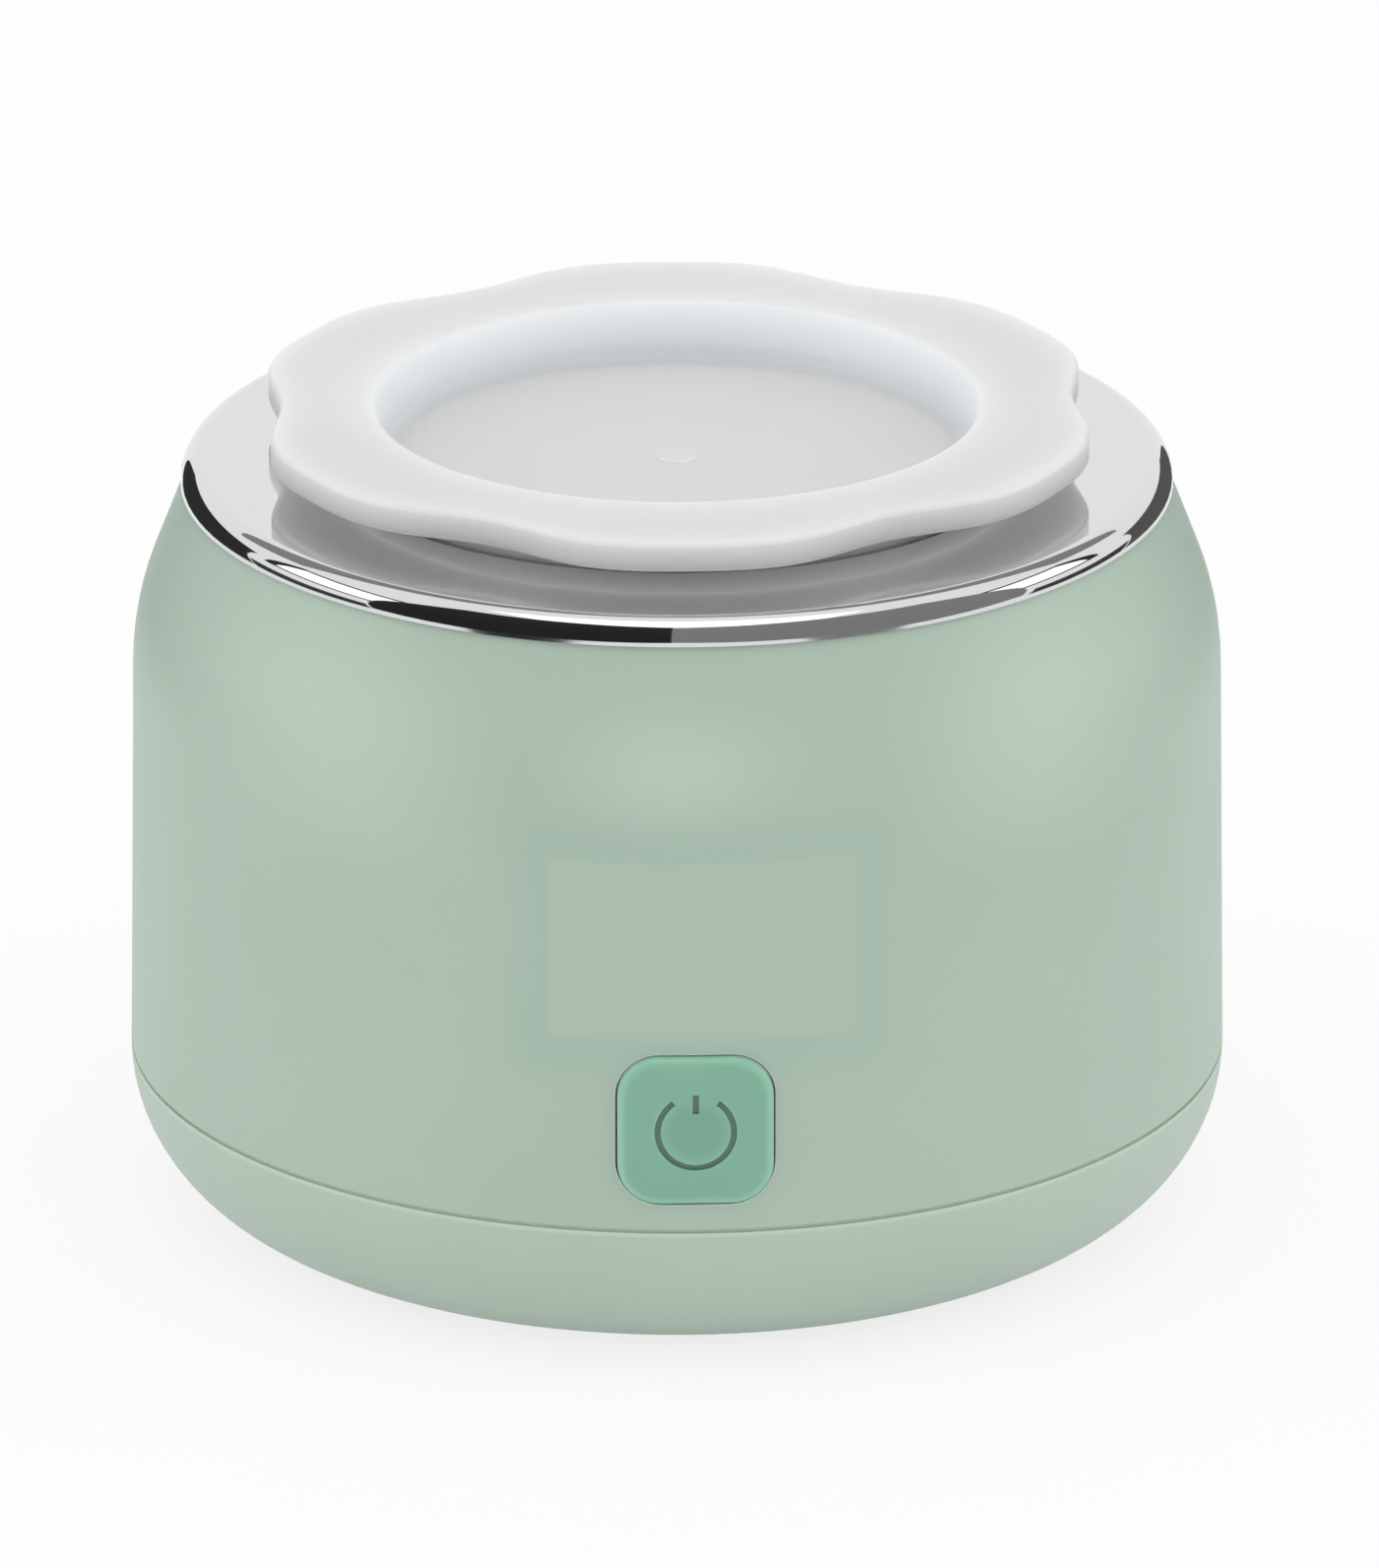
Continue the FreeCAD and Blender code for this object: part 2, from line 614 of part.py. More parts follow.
def collar_seal():
    """A flat ring between the ledge of the shell and the upper flange of the collar."""
    inner = bore_radius + RING_CLEARANCE
    return ring(inner, inner + COLLAR_SEAL_WIDTH, upper_flange_top, ledge_low)


def neck_gasket():
    """The flat seal on the rim of the cup, on which the rim of a bottle also sits."""
    return ring(cup_radius, land_radius - GASKET_GAP, gasket_low, collar_low)


def pan(bore, floor_low, flange_low):
    """A pressed steel pan with a round corner and a flange that reaches out to the clamped land."""
    radius = bore + SHEET
    flange_top = flange_low + SHEET
    floor_high = floor_low + SHEET
    outline = Outline(0, floor_low)
    outline.corner((radius, floor_low), (radius, flange_low), CUP_ROUND)
    outline.line(radius, flange_low)
    outline.line(land_radius, flange_low)
    outline.line(land_radius, flange_top)
    outline.line(bore, flange_top)
    outline.corner((bore, floor_high), (0, floor_high), CUP_ROUND - SHEET)
    outline.line(0, floor_high)
    return outline.turned()


def heater_cup():
    """The steel cup at the bottom of the neck, which the heater warms from below."""
    return pan(cup_bore, cup_floor_low, cup_flange_low)


def lead_holes(low, high):
    """The holes through which the leads of the heater pass."""
    return [disc(LEAD_HOLE_RADIUS, low, high, 0, y) for y in heater_lead_places]


def heater_disc():
    """The flat heater on the underside of the cup, with a hole for the thermistor."""
    return ring(THERMISTOR_HOLE_RADIUS, heater_radius, heater_low, cup_floor_low)


def insulation_pad():
    """The felt pad under the heater."""
    pad = ring(THERMISTOR_HOLE_RADIUS, pad_radius, insulation_low, heater_low)
    return pad.cut(lead_holes(insulation_low, heater_low))


def heat_shield():
    """A second steel pan that holds the pad and the heater up against the cup."""
    shield = pan(shield_bore, shield_floor_low, frame_top)
    holes = lead_holes(shield_floor_low, insulation_low)
    holes.append(disc(THERMISTOR_HOLE_RADIUS, shield_floor_low, insulation_low))
    return shield.cut(holes)


def thermistor():
    """The temperature sensor, which stands in the middle of the shield and touches the cup."""
    body = disc(THERMISTOR_RADIUS, shield_floor_low, cup_floor_low)
    return body.makeFillet(THERMISTOR_RADIUS / 4, [body.Edges[0]])


def thermal_cutout():
    """A safety switch bonded under the shield."""
    return centred_block(CUTOUT_SIZE, CUTOUT_X, 0, shield_floor_low - CUTOUT_SIZE[2])


def inner_frame():
    """The frame that clamps the cup to the collar, stands on the base and carries both boards."""
    rim = ring(frame_bore, flange_radius, frame_low, frame_top).cut(front_flat())
    pads = [disc(FRAME_PAD_RADIUS, frame_low, collar_low, x, y) for x, y in frame_screw_places]
    posts = [disc(BOARD_POST_RADIUS, board_top, frame_top, x, y) for x, y in board_posts]
    stands = [disc(LEG_RADIUS, leg_foot, frame_top, x, y) for x, y in legs]
    front_posts = [rod(FRONT_POST_RADIUS, x, front_post_level, front_board_back, y) for x, y in front_legs]
    cuts = [front_flat()]
    for x, y in frame_screw_places:
        cuts.append(disc(SMALL_SCREW[0] + SCREW_HOLE_GAP, frame_low, collar_low, x, y))
    for x, y in board_posts:
        cuts.append(pilot(SMALL_SCREW, SMALL_SCREW_BITE, x, y, board_top, 1))
    for x, y in legs:
        cuts.append(pilot(LARGE_SCREW, LARGE_SCREW_BITE, x, y, leg_foot, 1))
    for x, y in front_legs:
        depth = SMALL_SCREW_BITE + SCREW_END_GAP
        cuts.append(rod(SMALL_SCREW[0] + SCREW_BITE_GAP, x, front_post_level, front_board_back,
                        front_board_back + depth))
    return joined(rim, *pads, *posts, *stands, *front_posts).cut(cuts)


def battery_cells():
    """Two round cells side by side, each with its raised contact."""
    cells = []
    for y in (-cell_pitch, cell_pitch):
        start = Vector(-CELL_LENGTH / 2, y, cell_level)
        cell = Part.makeCylinder(CELL_RADIUS, CELL_LENGTH, start, Vector(1, 0, 0))
        ends = [edge for edge in cell.Edges if edge.Closed]
        cells.append(cell.makeFillet(CELL_EDGE_ROUND, ends))
    return cells


def cell_tabs():
    """The welded strips on the ends of the cells: one that links them, and one on each free end."""
    low = cell_level - TAB_HEIGHT / 2
    end = CELL_LENGTH / 2
    reach = cell_pitch + TAB_HEIGHT / 2
    tabs = [block(end, end + TAB, -reach, reach, low, low + TAB_HEIGHT)]
    for y in (-cell_pitch, cell_pitch):
        tabs.append(centred_block((TAB, TAB_HEIGHT, TAB_HEIGHT), -end - TAB / 2, y, low))
    return tabs


def battery_cradle():
    """The tray under the cells, with an ear on each side that the strap screws pass through."""
    half_width = 2 * cell_pitch
    tray = block(-CRADLE_LENGTH / 2, CRADLE_LENGTH / 2, -half_width, half_width, floor_top, ear_top)
    bridge = block(-EAR_RADIUS, EAR_RADIUS, -strap_ear_y, strap_ear_y, strap_boss_top, ear_top)
    ears = [disc(EAR_RADIUS, strap_boss_top, ear_top, x, y) for x, y in strap_ears]
    cuts = [disc(SMALL_SCREW[0] + SCREW_HOLE_GAP, strap_boss_top, ear_top, x, y) for x, y in strap_ears]
    for y in (-cell_pitch, cell_pitch):
        start = Vector(-CRADLE_LENGTH, y, cell_level)
        cuts.append(Part.makeCylinder(cell_pitch, 2 * CRADLE_LENGTH, start, Vector(1, 0, 0)))
    return joined(tray, bridge, *ears).cut(cuts)


def battery_strap():
    """The bent strap over the cells, screwed through the ears of the cradle to the base."""
    half = STRAP_WIDTH / 2
    inner = 2 * cell_pitch
    outer = inner + STRAP
    toe = strap_ear_y + EAR_RADIUS
    over = block(-half, half, -outer, outer, strap_top - STRAP, strap_top)
    sides = [block(-half, half, inner, outer, ear_top, strap_top)]
    sides.append(block(-half, half, -outer, -inner, ear_top, strap_top))
    feet = [block(-half, half, inner, toe, ear_top, ear_top + STRAP_FOOT)]
    feet.append(block(-half, half, -toe, -inner, ear_top, ear_top + STRAP_FOOT))
    hole = SMALL_SCREW[0] + SCREW_HOLE_GAP
    holes = [disc(hole, ear_top, ear_top + STRAP_FOOT, x, y) for x, y in strap_ears]
    return joined(over, *sides, *feet).cut(holes)


def main_board():
    """The control board under the frame, with a tongue that carries the charging port to the rear wall."""
    plate = block(-board_half_length, board_half_length, -board_half_width, board_half_width,
                  board_low, board_top)
    tongue_end = inner_radius(board_low) - TONGUE_GAP
    tongue = block(-TONGUE_WIDTH / 2, TONGUE_WIDTH / 2, 0, tongue_end, board_low, board_top)
    holes = [disc(SMALL_SCREW[0] + SCREW_HOLE_GAP, board_low, board_top, x, y) for x, y in board_posts]
    return joined(plate, tongue).cut(holes)


def board_parts():
    """The taller components on the control board."""
    return [centred_block(size, x, y, board_top) for size, (x, y) in zip(CHIP_SIZES, CHIP_PLACES)]


def board_connectors():
    """The two sockets of the ribbon, on the control board and on the back of the front board."""
    width, depth, height = CONNECTOR_SIZE
    rear = centred_block(CONNECTOR_SIZE, 0, -board_half_width + depth / 2, board_top)
    front = block(-width / 2, width / 2, front_board_back, front_board_back + FRONT_CONNECTOR_DEPTH,
                  board_top, board_top + height)
    return [rear, front]


def board_ribbon():
    """The flat cable between the two sockets."""
    return block(-RIBBON_WIDTH / 2, RIBBON_WIDTH / 2, front_board_back + FRONT_CONNECTOR_DEPTH,
                 -board_half_width, ribbon_level - RIBBON / 2, ribbon_level + RIBBON / 2)


def charge_port():
    """The metal shell of the charging socket, open to the rear."""
    back = port_mouth - PORT_LENGTH
    return socket_bar(0, back, port_mouth).cut(socket_bar(-PORT_WALL, back + PORT_BACK, port_mouth))


def port_blade():
    """The contact blade inside the charging socket."""
    back = port_mouth - PORT_LENGTH + PORT_BACK
    return block(-PORT_BLADE_WIDTH / 2, PORT_BLADE_WIDTH / 2, back, back + PORT_BLADE_LENGTH,
                 port_level - PORT_BLADE / 2, port_level + PORT_BLADE / 2)


def front_board():
    """The upright board behind the front wall, which carries the display and the switch."""
    plate = block(-front_board_half, front_board_half, front_board_face, front_board_back,
                  button_level - FRONT_BOARD_FOOT, display_level + baffle_half_height + FRONT_BOARD_EDGE)
    holes = [rod(SMALL_SCREW[0] + SCREW_HOLE_GAP, x, front_post_level, front_board_face, front_board_back)
             for x, y in front_legs]
    return plate.cut(holes)


def display_module():
    """The lit display, which shows softly through the frosted wall."""
    half_width = DISPLAY_WIDTH / 2
    half_height = DISPLAY_HEIGHT / 2
    return block(-half_width, half_width, front_board_face - DISPLAY_DEPTH, front_board_face,
                 display_level - half_height, display_level + half_height)


def display_frame():
    """The light baffle round the display."""
    half_width = DISPLAY_WIDTH / 2 + DISPLAY_FIT
    half_height = DISPLAY_HEIGHT / 2 + DISPLAY_FIT
    outer = block(-baffle_half_width, baffle_half_width, baffle_front, front_board_face,
                  display_level - baffle_half_height, display_level + baffle_half_height)
    window = block(-half_width, half_width, baffle_front, front_board_face,
                   display_level - half_height, display_level + half_height)
    return outer.cut(window)


def power_mark(front, back):
    """The ring with an open top and the upright bar, as a cutter between two depths."""
    mark = rod(MARK_RADIUS + MARK_LINE / 2, 0, button_level, front, back)
    mark = mark.cut(rod(MARK_RADIUS - MARK_LINE / 2, 0, button_level, front, back))
    reach = 2 * MARK_RADIUS
    side = reach * math.sin(math.radians(MARK_OPENING))
    rise = reach * math.cos(math.radians(MARK_OPENING))
    corners = [Vector(0, front, button_level), Vector(side, front, button_level + rise)]
    corners += [Vector(-side, front, button_level + rise), Vector(0, front, button_level)]
    opening = Part.Face(Part.makePolygon(corners)).extrude(Vector(0, back - front, 0))
    bar = block(-MARK_LINE / 2, MARK_LINE / 2, front, back,
                button_level + MARK_BAR_LOW, button_level + MARK_BAR_HIGH)
    return [mark.cut(opening), bar]


def power_button():
    """The push button: soft-edged cap, faintly dished face with the mark sunk in it, flange and stem."""
    cap = rounded_bar(BUTTON_SIZE, BUTTON_SIZE, BUTTON_CORNER, 0, button_level,
                      button_face, button_flange_back)
    face_edges = [edge for edge in cap.Edges if edge.BoundBox.YMax < button_face + 1e-6]
    cap = cap.makeFillet(BUTTON_BEVEL, face_edges)
    flange = rounded_bar(2 * flange_half, 2 * flange_half, BUTTON_CORNER + BUTTON_FLANGE_WIDTH, 0,
                         button_level, button_flange_front, button_flange_back)
    stem = rod(BUTTON_STEM_RADIUS, 0, button_level, button_flange_front, plunger_front)
    dish_centre = Vector(0, button_face + BUTTON_DISH_DEPTH - BUTTON_DISH_RADIUS, button_level)
    dish = Part.makeSphere(BUTTON_DISH_RADIUS, dish_centre)
    mark_back = button_face + BUTTON_DISH_DEPTH + MARK_DEPTH
    return joined(cap, flange, stem).cut(dish).cut(power_mark(button_face - BUTTON_PROUD, mark_back))


def push_switch():
    """The body of the switch behind the button, with the well of its plunger."""
    half = SWITCH_SIZE / 2
    body = block(-half, half, switch_front, front_board_face, button_level - half, button_level + half)
    well_back = switch_front + PLUNGER_SINK + BUTTON_TRAVEL + PLUNGER_GAP
    return body.cut(rod(PLUNGER_RADIUS + PLUNGER_GAP, 0, button_level, switch_front, well_back))


def switch_plunger():
    """The plunger that the stem of the button pushes."""
    return rod(PLUNGER_RADIUS, 0, button_level, plunger_front, switch_front + PLUNGER_SINK)


def flower(low, high):
    """The lobed flange of the lid, with soft edges."""
    steps = 8 * LID_LOBES
    points = []
    for step in range(steps):
        turn = 360 * step / steps
        phase = math.radians(LID_LOBES * turn)
        radius = bore_radius + LID_OVERHANG + LID_WAVE * math.cos(phase) - LID_NOTCH * math.cos(2 * phase)
        points.append(Vector(*polar(radius, 90 + turn), low))
    curve = Part.BSplineCurve()
    curve.interpolate(points, PeriodicFlag=True)
    prism = Part.Face(Part.Wire(curve.toShape())).extrude(Vector(0, 0, high - low))
    rims = [edge for edge in prism.Edges if edge.BoundBox.ZLength < 1e-6]
    return prism.makeFillet(LID_EDGE_ROUND, rims)


def lid():
    """The soft lid: flower flange, hub on the rim of the collar, and ribbed plug with a dish in its top."""
    rim_radius = plug_radius - LID_DISH_MARGIN
    floor_radius = rim_radius - LID_DISH_DRAFT
    skirt_bore = plug_radius - LID_SKIRT_WALL
    rib_radius = neck_radius - LID_RIB_CLEARANCE
    hub = disc(bore_radius - LID_HUB_CLEARANCE, collar_top, lid_flange_low + LID_FLANGE / 2)
    plug = disc(plug_radius, lid_skirt_low, lid_flange_low + LID_FLANGE / 2)
    ribs = []
    for count in range(LID_RIB_COUNT):
        low = lid_skirt_low + LID_RIB_HEIGHT * (1 + 2 * count)
        ribs.append(ring(skirt_bore, rib_radius, low, low + LID_RIB_HEIGHT))
    dish = Outline(0, lid_dish_floor)
    dish.corner((floor_radius, lid_dish_floor), (rim_radius, lid_top), LID_DISH_ROUND)
    dish.corner((rim_radius, lid_top), (rim_radius + LID_FLANGE, lid_top), LID_RIM_ROUND)
    dish.line(dish.pen.x, lid_top + LID_FLANGE)
    dish.line(0, lid_top + LID_FLANGE)
    hollow = disc(skirt_bore, lid_skirt_low, lid_dish_floor - LID_FLOOR)
    gate = disc(LID_GATE_RADIUS, lid_dish_floor - LID_FLOOR / 2, lid_dish_floor + LID_GATE_HEIGHT)
    solid = joined(flower(lid_flange_low, lid_top), hub, plug, *ribs)
    return joined(solid.cut([dish.turned(), hollow]), gate)


def base_screws():
    """The screws from under the base into the legs, hidden by the foot ring."""
    length = BASE_SCREW_WEB + LARGE_SCREW_BITE
    return [screw_up(LARGE_SCREW, length, x, y, base_screw_seat) for x, y in legs]


def frame_screws():
    """The screws that clamp frame, shield, cup and gasket to the collar."""
    length = collar_low - frame_low + FRAME_SCREW_BITE
    return [screw_up(SMALL_SCREW, length, x, y, frame_low) for x, y in frame_screw_places]


def neck_screws():
    """The screws from the collar into the bosses of the chrome ring, with the shell's ledge between."""
    length = COLLAR_FLANGE + NECK_SCREW_BITE
    return [screw_up(SMALL_SCREW, length, x, y, upper_flange_low) for x, y in neck_screw_places]


def board_screws():
    """The screws that hang the control board under the frame."""
    return [screw_up(SMALL_SCREW, BOARD + SMALL_SCREW_BITE, x, y, board_low) for x, y in board_posts]


def strap_screws():
    """The screws through strap and cradle into the base."""
    head = ear_top + STRAP_FOOT
    length = head - strap_boss_top + SMALL_SCREW_BITE
    return [screw_down(SMALL_SCREW, length, x, y, head) for x, y in strap_ears]


def front_board_screws():
    """The screws that hold the front board to the front legs."""
    length = FRONT_BOARD + SMALL_SCREW_BITE
    return [screw_back(SMALL_SCREW, length, x, front_post_level, front_board_face) for x, y in front_legs]


def heater_leads():
    """The two leads from the control board up to the heater."""
    return [disc(LEAD_RADIUS, board_top, heater_low, 0, y) for y in heater_lead_places]


def thermistor_leads():
    """The two thin leads from the control board up to the thermistor."""
    half = THERMISTOR_LEAD_SPACING / 2
    return [disc(THERMISTOR_LEAD_RADIUS, board_top, shield_floor_low, x, 0) for x in (-half, half)]


def battery_leads():
    """The two leads from the free ends of the cells up to the control board."""
    x = -(CELL_LENGTH / 2 + TAB + LEAD_RADIUS)
    return [disc(LEAD_RADIUS, cell_level, board_low, x, y) for y in (-cell_pitch, cell_pitch)]


SINGLE_PIECES = (outer_shell, base_cover, foot_ring, chrome_ring, neck_collar, collar_seal, neck_gasket,
                 heater_cup, heater_disc, insulation_pad, heat_shield, thermistor, thermal_cutout,
                 inner_frame, battery_cradle, battery_strap, main_board, board_ribbon, charge_port,
                 port_blade, front_board, display_module, display_frame, power_button, push_switch,
                 switch_plunger, lid)
GROUPS = (battery_cells, cell_tabs, board_parts, board_connectors, base_screws, frame_screws, neck_screws,
          board_screws, strap_screws, front_board_screws, heater_leads, thermistor_leads, battery_leads)

os.makedirs("parts", exist_ok=True)
for piece in SINGLE_PIECES:
    save(piece.__name__, piece())
for group in GROUPS:
    save(group.__name__, *group())
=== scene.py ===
import math

import bpy
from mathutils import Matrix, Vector


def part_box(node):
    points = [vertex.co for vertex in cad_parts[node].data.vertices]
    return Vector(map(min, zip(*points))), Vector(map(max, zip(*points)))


# Portable milk warmer in the studio: every piece of the frame keeps its shape and gets its finish here.
# Metres, in the frame's own axes: +Z up, front towards -Y, origin on the table.

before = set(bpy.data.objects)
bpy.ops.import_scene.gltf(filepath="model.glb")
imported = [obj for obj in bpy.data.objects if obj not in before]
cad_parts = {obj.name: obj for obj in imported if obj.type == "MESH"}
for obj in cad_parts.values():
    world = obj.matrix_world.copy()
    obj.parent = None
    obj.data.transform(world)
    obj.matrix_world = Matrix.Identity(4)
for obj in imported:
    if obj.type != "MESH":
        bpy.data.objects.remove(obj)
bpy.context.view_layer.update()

MM = 0.001

# Places that the finishes follow
shell_low, shell_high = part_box("outer_shell")
ring_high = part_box("chrome_ring")[1]
lid_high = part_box("lid")[1]
button_low, button_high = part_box("power_button")
display_low, display_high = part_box("display_module")
baffle_low, baffle_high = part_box("display_frame")
cell_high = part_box("battery_cells")[1]
button_centre = (button_low + button_high) / 2
display_centre = (display_low + display_high) / 2
display_half = (display_high - display_low) / 2
baffle_half = (baffle_high - baffle_low) / 2

# Chrome ring
RING_ROUND = 1.8 * MM       # radius of its outer edge

# Seam between the shell and the base
seam = shell_low.z
SEAM_LINE = 0.35 * MM       # height of the groove in the shell
RIM_HIGHLIGHT_DEPTH = 0.3 * MM         # depth of the painted highlight along the base's upper rim

# Display behind the shell
WINDOW_SHIFT = 0.5 * MM     # it shows a little right of the middle

# Painted light on the shell: pale patches that stand in for light showing through it where the frame sits
# behind.
# Each has its place across, its reach across, its reach up and its share.
PAINTED_GLOW_LEVEL = 51 * MM
PAINTED_GLOWS = [
    (-29 * MM, 17 * MM, 14 * MM, 0.65),
    (-1.5 * MM, 13 * MM, 7 * MM, 0.55),
    (29 * MM, 17 * MM, 14 * MM, 0.65),
]

# Button and the gap round it
BUTTON_HALF = 6.15 * MM
BUTTON_CORNER = 3.4 * MM
BUTTON_GAP = 0.15 * MM
BUTTON_REACH = 6 * MM       # how far before and behind its centre a place still counts as near it
BUTTON_HIGHLIGHT_BRIM = 0.5 * MM      # width of the painted highlight along its edge
BUTTON_FLANK = 0.9 * MM     # where its sides start, behind the foremost point of its face
BUTTON_SHADE_RADIUS = 2.2 * MM    # radius of the painted shade in its dished middle
GAP_PAINTED_LIGHT_MARGIN = 0.04 * MM      # how far the painted light of the gap runs on to the face of the shell

# Mark on the button
MARK_RADIUS = 3.0 * MM
MARK_HALF_LINE = 0.22 * MM
MARK_SOFT = 0.12 * MM
MARK_OPENING = math.radians(35.0)
MARK_BAR_RISE = 2.3 * MM    # middle of the bar above the centre
MARK_BAR_HALF = 0.8 * MM
MARK_DEPTH = 2 * MM

# Lid
DISH_FLOOR = 22.5 * MM      # radius where the floor of the dish turns into its wall
DISH_WALL = 24.3 * MM       # radius where the wall ends
DISH_LEVEL = 62.25 * MM     # height where the wall starts
FLANGE_START = 25.8 * MM
FLANGE_UNDER = 2.35 * MM    # top of the painted light under the flange, just above the underside, from the top of the lid
FLANGE_SIDE = 0.5 * MM      # where the side and its painted shade start, from the top of the lid

# Battery cells
CELL_BARE_END = 0.2 * MM

# Colours, as linear light
WHITE = (1.0, 1.0, 1.0, 1.0)
MINT = (0.406, 0.524, 0.434, 1.0)
MINT_PALE = (0.426, 0.542, 0.454, 1.0)
BASE_MINT = (0.446, 0.556, 0.468, 1.0)
BASE_MINT_PALE = (0.466, 0.574, 0.488, 1.0)
RIM_HIGHLIGHT_MINT = (0.560, 0.670, 0.570, 1.0)
SEAM_OLIVE_PAINTED_LIGHT = (0.560, 0.630, 0.490, 1.0)
PAINTED_GLOW_MINT = (0.530, 0.660, 0.560, 1.0)
WINDOW_TINT = (0.440, 0.540, 0.426, 1.0)
BAFFLE_SHADE = (0.374, 0.500, 0.420, 1.0)
BUTTON_GREEN = (0.246, 0.482, 0.360, 1.0)
BUTTON_PALE = (0.272, 0.516, 0.388, 1.0)
BUTTON_EDGE_HIGHLIGHT = (0.312, 0.556, 0.428, 1.0)
BUTTON_MIDDLE_SHADE = (0.224, 0.450, 0.338, 1.0)
GAP_PAINTED_LIGHT = (0.800, 0.920, 0.850, 1.0)
MARK_GREEN = (0.150, 0.290, 0.215, 1.0)
MILK_WHITE = (0.710, 0.715, 0.713, 1.0)
MILK_WARM = (0.686, 0.689, 0.681, 1.0)
MILK_BLUE_PAINTED_LIGHT = (0.800, 0.832, 0.856, 1.0)
MILK_PAINTED_LIGHT = (0.870, 0.873, 0.872, 1.0)
MILK_SIDE_SHADE = (0.610, 0.614, 0.612, 1.0)
CHROME = (0.705, 0.708, 0.712, 1.0)
STEEL = (0.600, 0.590, 0.570, 1.0)
STEEL_DARK = (0.500, 0.492, 0.478, 1.0)
PORT_STEEL = (0.580, 0.580, 0.580, 1.0)
PORT_STEEL_DARK = (0.500, 0.500, 0.510, 1.0)
NICKEL = (0.610, 0.580, 0.530, 1.0)
NICKEL_DARK = (0.550, 0.520, 0.470, 1.0)
ZINC = (0.560, 0.570, 0.580, 1.0)
ZINC_DARK = (0.470, 0.490, 0.510, 1.0)
FELT_PALE = (0.660, 0.640, 0.600, 1.0)
FELT_DARK = (0.540, 0.520, 0.480, 1.0)
BOARD_GREEN = (0.010, 0.105, 0.038, 1.0)
BOARD_TRACE = (0.022, 0.170, 0.070, 1.0)
CHIP_BLACK = (0.020, 0.020, 0.022, 1.0)
AMBER_FILM = (0.480, 0.190, 0.025, 1.0)
AMBER_TRACE = (0.200, 0.075, 0.020, 1.0)
WRAP_BLUE = (0.020, 0.130, 0.270, 1.0)
WRAP_BLUE_PALE = (0.026, 0.150, 0.300, 1.0)
LEAD_RED = (0.420, 0.020, 0.018, 1.0)
LEAD_RED_DARK = (0.360, 0.018, 0.016, 1.0)
LEAD_BLACK = (0.016, 0.016, 0.018, 1.0)
FLOOR_TONE = (0.930, 0.930, 0.930, 1.0)
FLOOR_TONE_SECOND = (0.920, 0.920, 0.920, 1.0)

# Sockets of the Mix node, which shares its socket names between kinds of value: first, second and result
MIX_SOCKETS = {"RGBA": (6, 7, 2), "VECTOR": (4, 5, 1)}


# Node trees

def feed(tree, socket, value):
    """Links another node's socket, or writes a plain value."""
    if isinstance(value, bpy.types.NodeSocket):
        tree.links.new(value, socket)
    else:
        socket.default_value = value


def add(tree, kind, inputs=None, **settings):
    """Adds one node with its settings and its inputs by name."""
    node = tree.nodes.new(kind)
    for setting, value in settings.items():
        setattr(node, setting, value)
    for name, value in (inputs or {}).items():
        feed(tree, node.inputs[name], value)
    return node


def reckon(tree, operation, first, second=0.0, clamp=False):
    """One sum of two values."""
    node = add(tree, "ShaderNodeMath", operation=operation, use_clamp=clamp)
    feed(tree, node.inputs[0], first)
    feed(tree, node.inputs[1], second)
    return node.outputs[0]


def vector_sum(tree, operation, first, second=(0.0, 0.0, 0.0)):
    """One sum of two vectors."""
    node = add(tree, "ShaderNodeVectorMath", operation=operation)
    feed(tree, node.inputs[0], first)
    feed(tree, node.inputs[1], second)
    return node.outputs["Value"] if operation == "LENGTH" else node.outputs["Vector"]


def split(tree, vector):
    """The three values of a vector, by the names X, Y and Z."""
    return add(tree, "ShaderNodeSeparateXYZ", {"Vector": vector}).outputs


def from_axis(tree, place):
    """A place's level offset from the upright axis, and the length of that offset."""
    flat = vector_sum(tree, "MULTIPLY", place, (1.0, 1.0, 0.0))
    return flat, vector_sum(tree, "LENGTH", flat)


def between(tree, value, low, high, start=0.0, end=1.0):
    """Runs smoothly from start to end while the value runs from low to high."""
    inputs = {"Value": value, "From Min": low, "From Max": high, "To Min": start, "To Max": end}
    return add(tree, "ShaderNodeMapRange", inputs, interpolation_type="SMOOTHSTEP").outputs["Result"]


def above(tree, value, level, soft):
    """One above a level and nothing below it, with a smooth step of the given width."""
    return between(tree, value, level - soft / 2, level + soft / 2)


def below(tree, value, level, soft):
    """One below a level and nothing above it, with a smooth step of the given width."""
    return between(tree, value, level - soft / 2, level + soft / 2, 1.0, 0.0)


def blended(tree, share, first, second, kind="RGBA"):
    """A mix of two colours or two vectors."""
    node = add(tree, "ShaderNodeMix", {"Factor": share}, data_type=kind)
    first_socket, second_socket, result_socket = MIX_SOCKETS[kind]
    feed(tree, node.inputs[first_socket], first)
    feed(tree, node.inputs[second_socket], second)
    return node.outputs[result_socket]


def noise(tree, place, scale, detail=2.0):
    """A cloud of values about a half."""
    inputs = {"Vector": place, "Scale": scale, "Detail": detail}
    return add(tree, "ShaderNodeTexNoise", inputs).outputs["Fac"]


# Node groups that the finishes share

VECTOR = "NodeSocketVector"
NUMBER = "NodeSocketFloat"
COLOUR = "NodeSocketColor"
PLACE = ("Place", VECTOR, (0.0, 0.0, 0.0))
CENTRE = ("Centre", VECTOR, (0.0, 0.0, 0.0))


def new_group(name, inputs, outputs):
    """An empty node group with its named sockets."""
    tree = bpy.data.node_groups.new(name, "ShaderNodeTree")
    for label, kind, default in inputs:
        tree.interface.new_socket(label, in_out="INPUT", socket_type=kind).default_value = default
    for label, kind in outputs:
        tree.interface.new_socket(label, in_out="OUTPUT", socket_type=kind)
    return tree, add(tree, "NodeGroupInput").outputs, add(tree, "NodeGroupOutput").inputs


